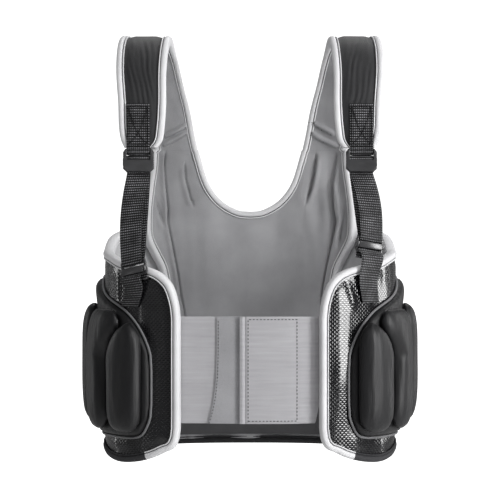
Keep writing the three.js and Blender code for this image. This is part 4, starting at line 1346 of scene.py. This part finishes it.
def adjuster_strap(strapping):
    side, name = strapping["side"], strapping["name"]
    pose = slide_pose(strapping)
    stops = []

    def add(point, share, bow=0.0):
        moved = point + Vector((side * bow, 0, 0))
        stops.append((moved, pose["turn"] * (1 - share), pose["roll"] * (1 - share)))

    top_x = side * WEBBING_X
    fold = fold_reach(SLIDE_BAR, SLIDE_THICKNESS)
    bar_height = SLIDE_HEIGHT / 2 - SLIDE_BAR / 2
    for degrees in (225, 270, 315):
        angle = math.radians(degrees)
        add(in_slide(pose, fold * math.cos(angle), bar_height + fold * math.sin(angle)), 0)
    behind = BUCKLE_THICKNESS / 2 + GAP + WEBBING_THICKNESS / 2
    further = behind + WEBBING_THICKNESS + 2 * GAP
    foot_z = BUCKLE_Z - BUCKLE_HEIGHT / 2
    front_foot = in_slide(pose, fold, bar_height)
    back_foot = in_slide(pose, -fold, bar_height)

    def layer(foot, y, share, bow):
        point = foot.lerp(Vector((top_x, BUCKLE_Y + y, foot_z)), share)
        add(point, share, bow * math.sin(math.pi * share))

    for i in range(6):
        layer(front_foot, behind, i / 5, 4)
    in_front = BUCKLE_THICKNESS / 2 + 2 * GAP + WEBBING_THICKNESS
    half = BUCKLE_BAR / 2
    for y, z in (
        (behind + GAP, foot_z + BUCKLE_BAR + GAP),
        (-in_front + GAP, BUCKLE_Z - half - 2 * GAP),
        (-in_front, BUCKLE_Z),
        (-behind, BUCKLE_Z + half + WEBBING_THICKNESS),
        (0, BUCKLE_Z + half + WEBBING_THICKNESS + 5 * GAP),
        (behind, BUCKLE_Z + half + WEBBING_THICKNESS),
        (further, BUCKLE_Z - half),
    ):
        add(Vector((top_x, BUCKLE_Y + y, z)), 1)
    for i in range(5, -1, -1):
        layer(back_foot, further, i / 5, 0)
    webbing_strip(f"adjuster_strap_{name}", stops, f"adjuster_webbing_{name}", is_loop=True)


def tab_strap(strapping):
    side, name = strapping["side"], strapping["name"]
    pose = slide_pose(strapping)
    fold = fold_reach(SLIDE_BAR, SLIDE_THICKNESS)
    bar_height = -SLIDE_HEIGHT / 2 + SLIDE_BAR / 2
    stops = [(in_slide(pose, -fold, bar_height - 8), pose["turn"], pose["roll"])]
    for i in range(5):
        angle = math.pi * i / 4
        point = in_slide(pose, -fold * math.cos(angle), bar_height + fold * math.sin(angle))
        stops.append((point, pose["turn"], pose["roll"]))
    flat = SIDE_THICKNESS + GAP + WEBBING_THICKNESS / 2
    rim_share = (pose["along"] - SIDE_FRONT_GAP) / SIDE_LENGTH
    rim_z = WAIST + SIDE_HEIGHT * between(side_rows, rim_share, 1)
    rim_foot = min(rim_z - BINDING_WIDTH, pose["at"].z - SLIDE_HEIGHT / 2 - 8)
    pad_share = (pose["along"] + 6 - SIDE_FRONT_GAP - PAD_PANEL_START) / PAD_PANEL_LENGTH
    pad_z = WAIST + PAD_PANEL_LOWEST + PAD_PANEL_HEIGHT * between(pad_rows, pad_share, 1)
    foot_z = pad_z + 2 * PIPING_RADIUS + 12
    drop = (
        (0.25, pose["clear"] + fold, pose["at"].z - SLIDE_HEIGHT / 2 - TAB_CLEARANCE),
        (0.5, flat + BINDING_PROUD + WEBBING_THICKNESS + 2 * GAP, rim_foot - 2 * TAB_CLEARANCE),
        (1, flat + 0.6, foot_z),
    )
    for share, reach, z in drop:
        along = pose["along"] + strapping["drift"] * share - 3 * (share == 0.5)
        at, out = on_torso(side * along, z)
        turn = math.atan2(out.x, -out.y) * (strapping["facing"] if share < 0.5 else 1)
        stops.append((at + out * reach, turn, pose["roll"] * (1 - share)))
    webbing_strip(f"tab_strap_{name}", stops, f"webbing_tab_{name}")


def opened_grid(columns, rows, is_open):
    """A flat grid from -0.5 to 0.5 both ways, without the cells that is_open names."""
    bm = bmesh.new()
    bmesh.ops.create_grid(bm, x_segments=columns, y_segments=rows, size=0.5)
    openings = []
    for face in bm.faces:
        centre = face.calc_center_median()
        if is_open(int((centre.x + 0.5) * columns), int((centre.y + 0.5) * rows)):
            openings.append(face)
    bmesh.ops.delete(bm, geom=openings, context="FACES")
    return bm


def extruded_points(bm):
    """Extrudes a bmesh's faces in place and gives the new points."""
    extruded = bmesh.ops.extrude_face_region(bm, geom=bm.faces[:])
    return [item for item in extruded["geom"] if isinstance(item, bmesh.types.BMVert)]


def buckle_body(width, height, thickness, bar, cut, bulge):
    """A ladder-lock plate in its own plane: a grid with two cells opened, thickened and rounded."""
    slot_width = WEBBING_WIDTH + 0.4
    frame_width = (width - slot_width) / 2
    xs = [-width / 2, -width / 2 + frame_width, width / 2 - frame_width, width / 2]
    zs = [-height / 2, -height / 2 + bar, -bar / 2, bar / 2, height / 2 - bar, height / 2]
    bm = opened_grid(3, 5, lambda column, row: column == 1 and row in (1, 3))
    for vert in bm.verts:
        column, row = round((vert.co.x + 0.5) * 3), round((vert.co.y + 0.5) * 5)
        x, z = xs[column], zs[row]
        if row == 0 and column in (0, 3):
            x -= math.copysign(cut, x)
        if row == 5 and column in (0, 3):
            x -= math.copysign(0.6 * cut, x)
        vert.co = Vector((x, -thickness / 2, z))
    bmesh.ops.translate(bm, verts=extruded_points(bm), vec=(0, thickness, 0))
    bmesh.ops.recalc_face_normals(bm, faces=bm.faces)
    round_edges(bm, edges_over(bm, 0.6), BUCKLE_ROUND, 3)
    for vert in bm.verts:
        low = smooth(-vert.co.z, height * 0.18, height * 0.5)
        if vert.co.y < 0:
            vert.co.y -= bulge * low
    return bm


# The upper buckle's outline: height from its middle, half width
HOOD_OUTLINE = [(-11.6, 12.2), (-8.6, 15.0), (-6.0, 16.5), (2.0, 16.5), (7.0, 15.4), (12.2, 13.9)]


def buckle_hood(bm):
    """Adds the rails and the thumb lip that stand in front of the webbing."""
    xs = [-16.5, -12.6, -12, -9, -5, -1.7, 1.7, 5, 9, 12, 12.6, 16.5]
    zs = [-11.6, -10, -8, -5.5, -3.4, -1.2, 0.9, 5, 9, 12.2]
    columns, rows = len(xs) - 1, len(zs) - 1
    hood = opened_grid(columns, rows, lambda column, row: 0 < column < columns - 1 and row > 5)
    behind = set(extruded_points(hood))
    for vert in hood.verts:
        column, row = round((vert.co.x + 0.5) * columns), round((vert.co.y + 0.5) * rows)
        x, z = xs[column], zs[row]
        if column in (0, columns):
            x = math.copysign(between(HOOD_OUTLINE, z), x)
        elif abs(x) > 9:
            x = math.copysign(min(abs(x), between(HOOD_OUTLINE, z) - 1.0), x)
        is_rail = column in (0, 1, columns - 1, columns)
        if vert in behind:
            y = -1.0 if is_rail else -4.9
        else:
            y = -5.0 - 1.8 * (1 - smooth(z, 0.6, 10)) + 1.2 * smooth(-z, 5, 11)
            y += 1.4 * math.exp(-(x / 6.0) ** 2 - ((z + 5.5) / 2.8) ** 2)
        vert.co = Vector((x, y, z))
    bmesh.ops.recalc_face_normals(hood, faces=hood.faces)
    round_edges(hood, edges_over(hood, 0.9), BUCKLE_ROUND, 3)
    joined = bpy.data.meshes.new("hood")
    hood.to_mesh(joined)
    hood.free()
    bm.from_mesh(joined)
    bpy.data.meshes.remove(joined)


def slide_lip(bm, height, slope):
    """Adds the flat bar that lies over the webbing on a lower buckle, held by its two ends."""
    bar = (-13.4, 13.4, -3.4, 3.4, -6.0, -4.5)
    ends = [(-15.4, -12.9, -2.8, 2.8, -5.6, 0), (12.9, 15.4, -2.8, 2.8, -5.6, 0)]
    for x0, x1, z0, z1, y0, y1 in (bar, *ends):
        made = bmesh.ops.create_cube(bm, size=1)
        for vert in made["verts"]:
            share = vert.co + Vector((0.5, 0.5, 0.5))
            x, y, z = lerp(x0, x1, share.x), lerp(y0, y1, share.y), lerp(z0, z1, share.z)
            vert.co = Vector((x, y, z + height))
            vert.co.y -= slope * (1 - share.z) * (y0 < -5.8)
        edges = list({edge for vert in made["verts"] for edge in vert.link_edges})
        round_edges(bm, edges, 0.6, 2)


def buckle_piece(name, bm, matrix, node):
    bmesh.ops.transform(bm, matrix=matrix, verts=bm.verts)
    bmesh.ops.scale(bm, vec=(MM, MM, MM), verts=bm.verts)
    finish_piece(name, bm, [BUCKLE], "buckle", [node])


def make_strapping():
    for strapping in SIDES:
        side, name = strapping["side"], strapping["name"]
        patch_strap(side, name)
        adjuster_strap(strapping)
        tab_strap(strapping)
        upper = buckle_body(BUCKLE_WIDTH, BUCKLE_HEIGHT, BUCKLE_THICKNESS, BUCKLE_BAR, 4, 1.0)
        buckle_hood(upper)
        place = Matrix.Translation((side * WEBBING_X, BUCKLE_Y, BUCKLE_Z))
        buckle_piece(f"upper_lock_{name}", upper, place, f"upper_buckle_{name}")
        pose = slide_pose(strapping)
        lower = buckle_body(SLIDE_WIDTH, SLIDE_HEIGHT, SLIDE_THICKNESS, SLIDE_BAR, SLIDE_BAR / 2,
                            0.0)
        slide_lip(lower, strapping["lip"], strapping["slope"])
        turned = Matrix.Rotation(pose["turn"], 4, "Z") @ Matrix.Rotation(-pose["roll"], 4, "Y")
        place = Matrix.Translation(pose["at"]) @ turned
        buckle_piece(f"lower_slide_{name}", lower, place, f"lower_buckle_{name}")


# Studio

def area_light(name, place, target, size, power):
    data = bpy.data.lights.new(name, "AREA")
    data.shape = "RECTANGLE"
    data.size, data.size_y = size
    data.energy = power
    light = bpy.data.objects.new(name, data)
    light.location = place
    light.rotation_mode = "QUATERNION"
    light.rotation_quaternion = (Vector(target) - Vector(place)).to_track_quat("-Z", "Y")
    bpy.context.scene.collection.objects.link(light)
    return light


def studio():
    camera = bpy.data.objects.new("camera", bpy.data.cameras.new("camera"))
    camera.location = (0, -2.1, -0.229)
    camera.rotation_euler = (math.pi / 2, 0, 0)
    camera.data.lens = 135
    camera.data.sensor_width = 36
    camera.data.clip_start, camera.data.clip_end = 0.05, 200
    bpy.context.scene.collection.objects.link(camera)
    bpy.context.scene.camera = camera
    bpy.context.scene.view_settings.view_transform = "Standard"
    bpy.context.scene.view_settings.look = "Medium High Contrast"

    floor = bpy.data.objects.new("floor", bpy.data.meshes.new("floor"))
    bm = bmesh.new()
    bmesh.ops.create_grid(bm, x_segments=1, y_segments=1, size=90)
    bmesh.ops.translate(bm, verts=bm.verts, vec=(0, 0, -1.1))
    bm.to_mesh(floor.data)
    bm.free()
    bpy.context.scene.collection.objects.link(floor)
    pale = Finish("pale_floor", (0.9, 0.9, 0.9), 0.9, 0.2)
    seen = pale.node("LightPath").outputs["Is Camera Ray"]
    pale.put(pale.shader, Emission_Color=(1, 1, 1, 1), Emission_Strength=seen)
    floor.data.materials.append(pale.material)

    world = bpy.data.worlds.new("studio")
    world.use_nodes = True
    bpy.context.scene.world = world
    nodes, links = world.node_tree.nodes, world.node_tree.links
    background = nodes["Background"]
    background.inputs["Color"].default_value = (1, 1, 1, 1)
    path = nodes.new("ShaderNodeLightPath")
    strength = nodes.new("ShaderNodeMapRange")
    links.new(path.outputs["Is Camera Ray"], strength.inputs["Value"])
    strength.inputs["To Min"].default_value = 0.2
    strength.inputs["To Max"].default_value = 1.05
    links.new(strength.outputs["Result"], background.inputs["Strength"])

    area_light("key_right", (1.65, -1.3, 0.0), (0.05, 0, -0.25), (0.55, 1.1), 32)
    area_light("rim_right", (1.9, 0.75, 0.0), (0.1, 0, -0.25), (0.3, 1.4), 10)
    area_light("rim_left", (-1.9, 0.75, 0.0), (-0.1, 0, -0.25), (0.3, 1.4), 5)
    area_light("side_left", (-1.9, -0.9, 0.1), (-0.05, 0, -0.25), (0.15, 1.4), 1.6)
    area_light("top_strip", (1.0, -1.25, 1.35), (0, 0, -0.2), (0.9, 0.9), 14)
    area_light("top_back", (0.2, 1.4, 1.4), (0, 0, -0.1), (1.6, 0.8), 12)
    front = area_light("front_soft", (-0.3, -2.4, 1.4), (0, 0, -0.2), (1.0, 0.7), 18)
    front.visible_glossy = False


def main():
    studio()
    back_cushion()
    hem_lining_band()
    make_bindings()
    make_belt()
    for strapping in SIDES:
        side, name = strapping["side"], strapping["name"]
        shoulder_pad(side, name)
        side_guard(side, name)
        foam_base(side, name)
        pad_cord(side, name)
        for pad in RIB_PADS:
            rib_cushion(side, name, pad)
    make_strapping()
    make_stitches()


main()
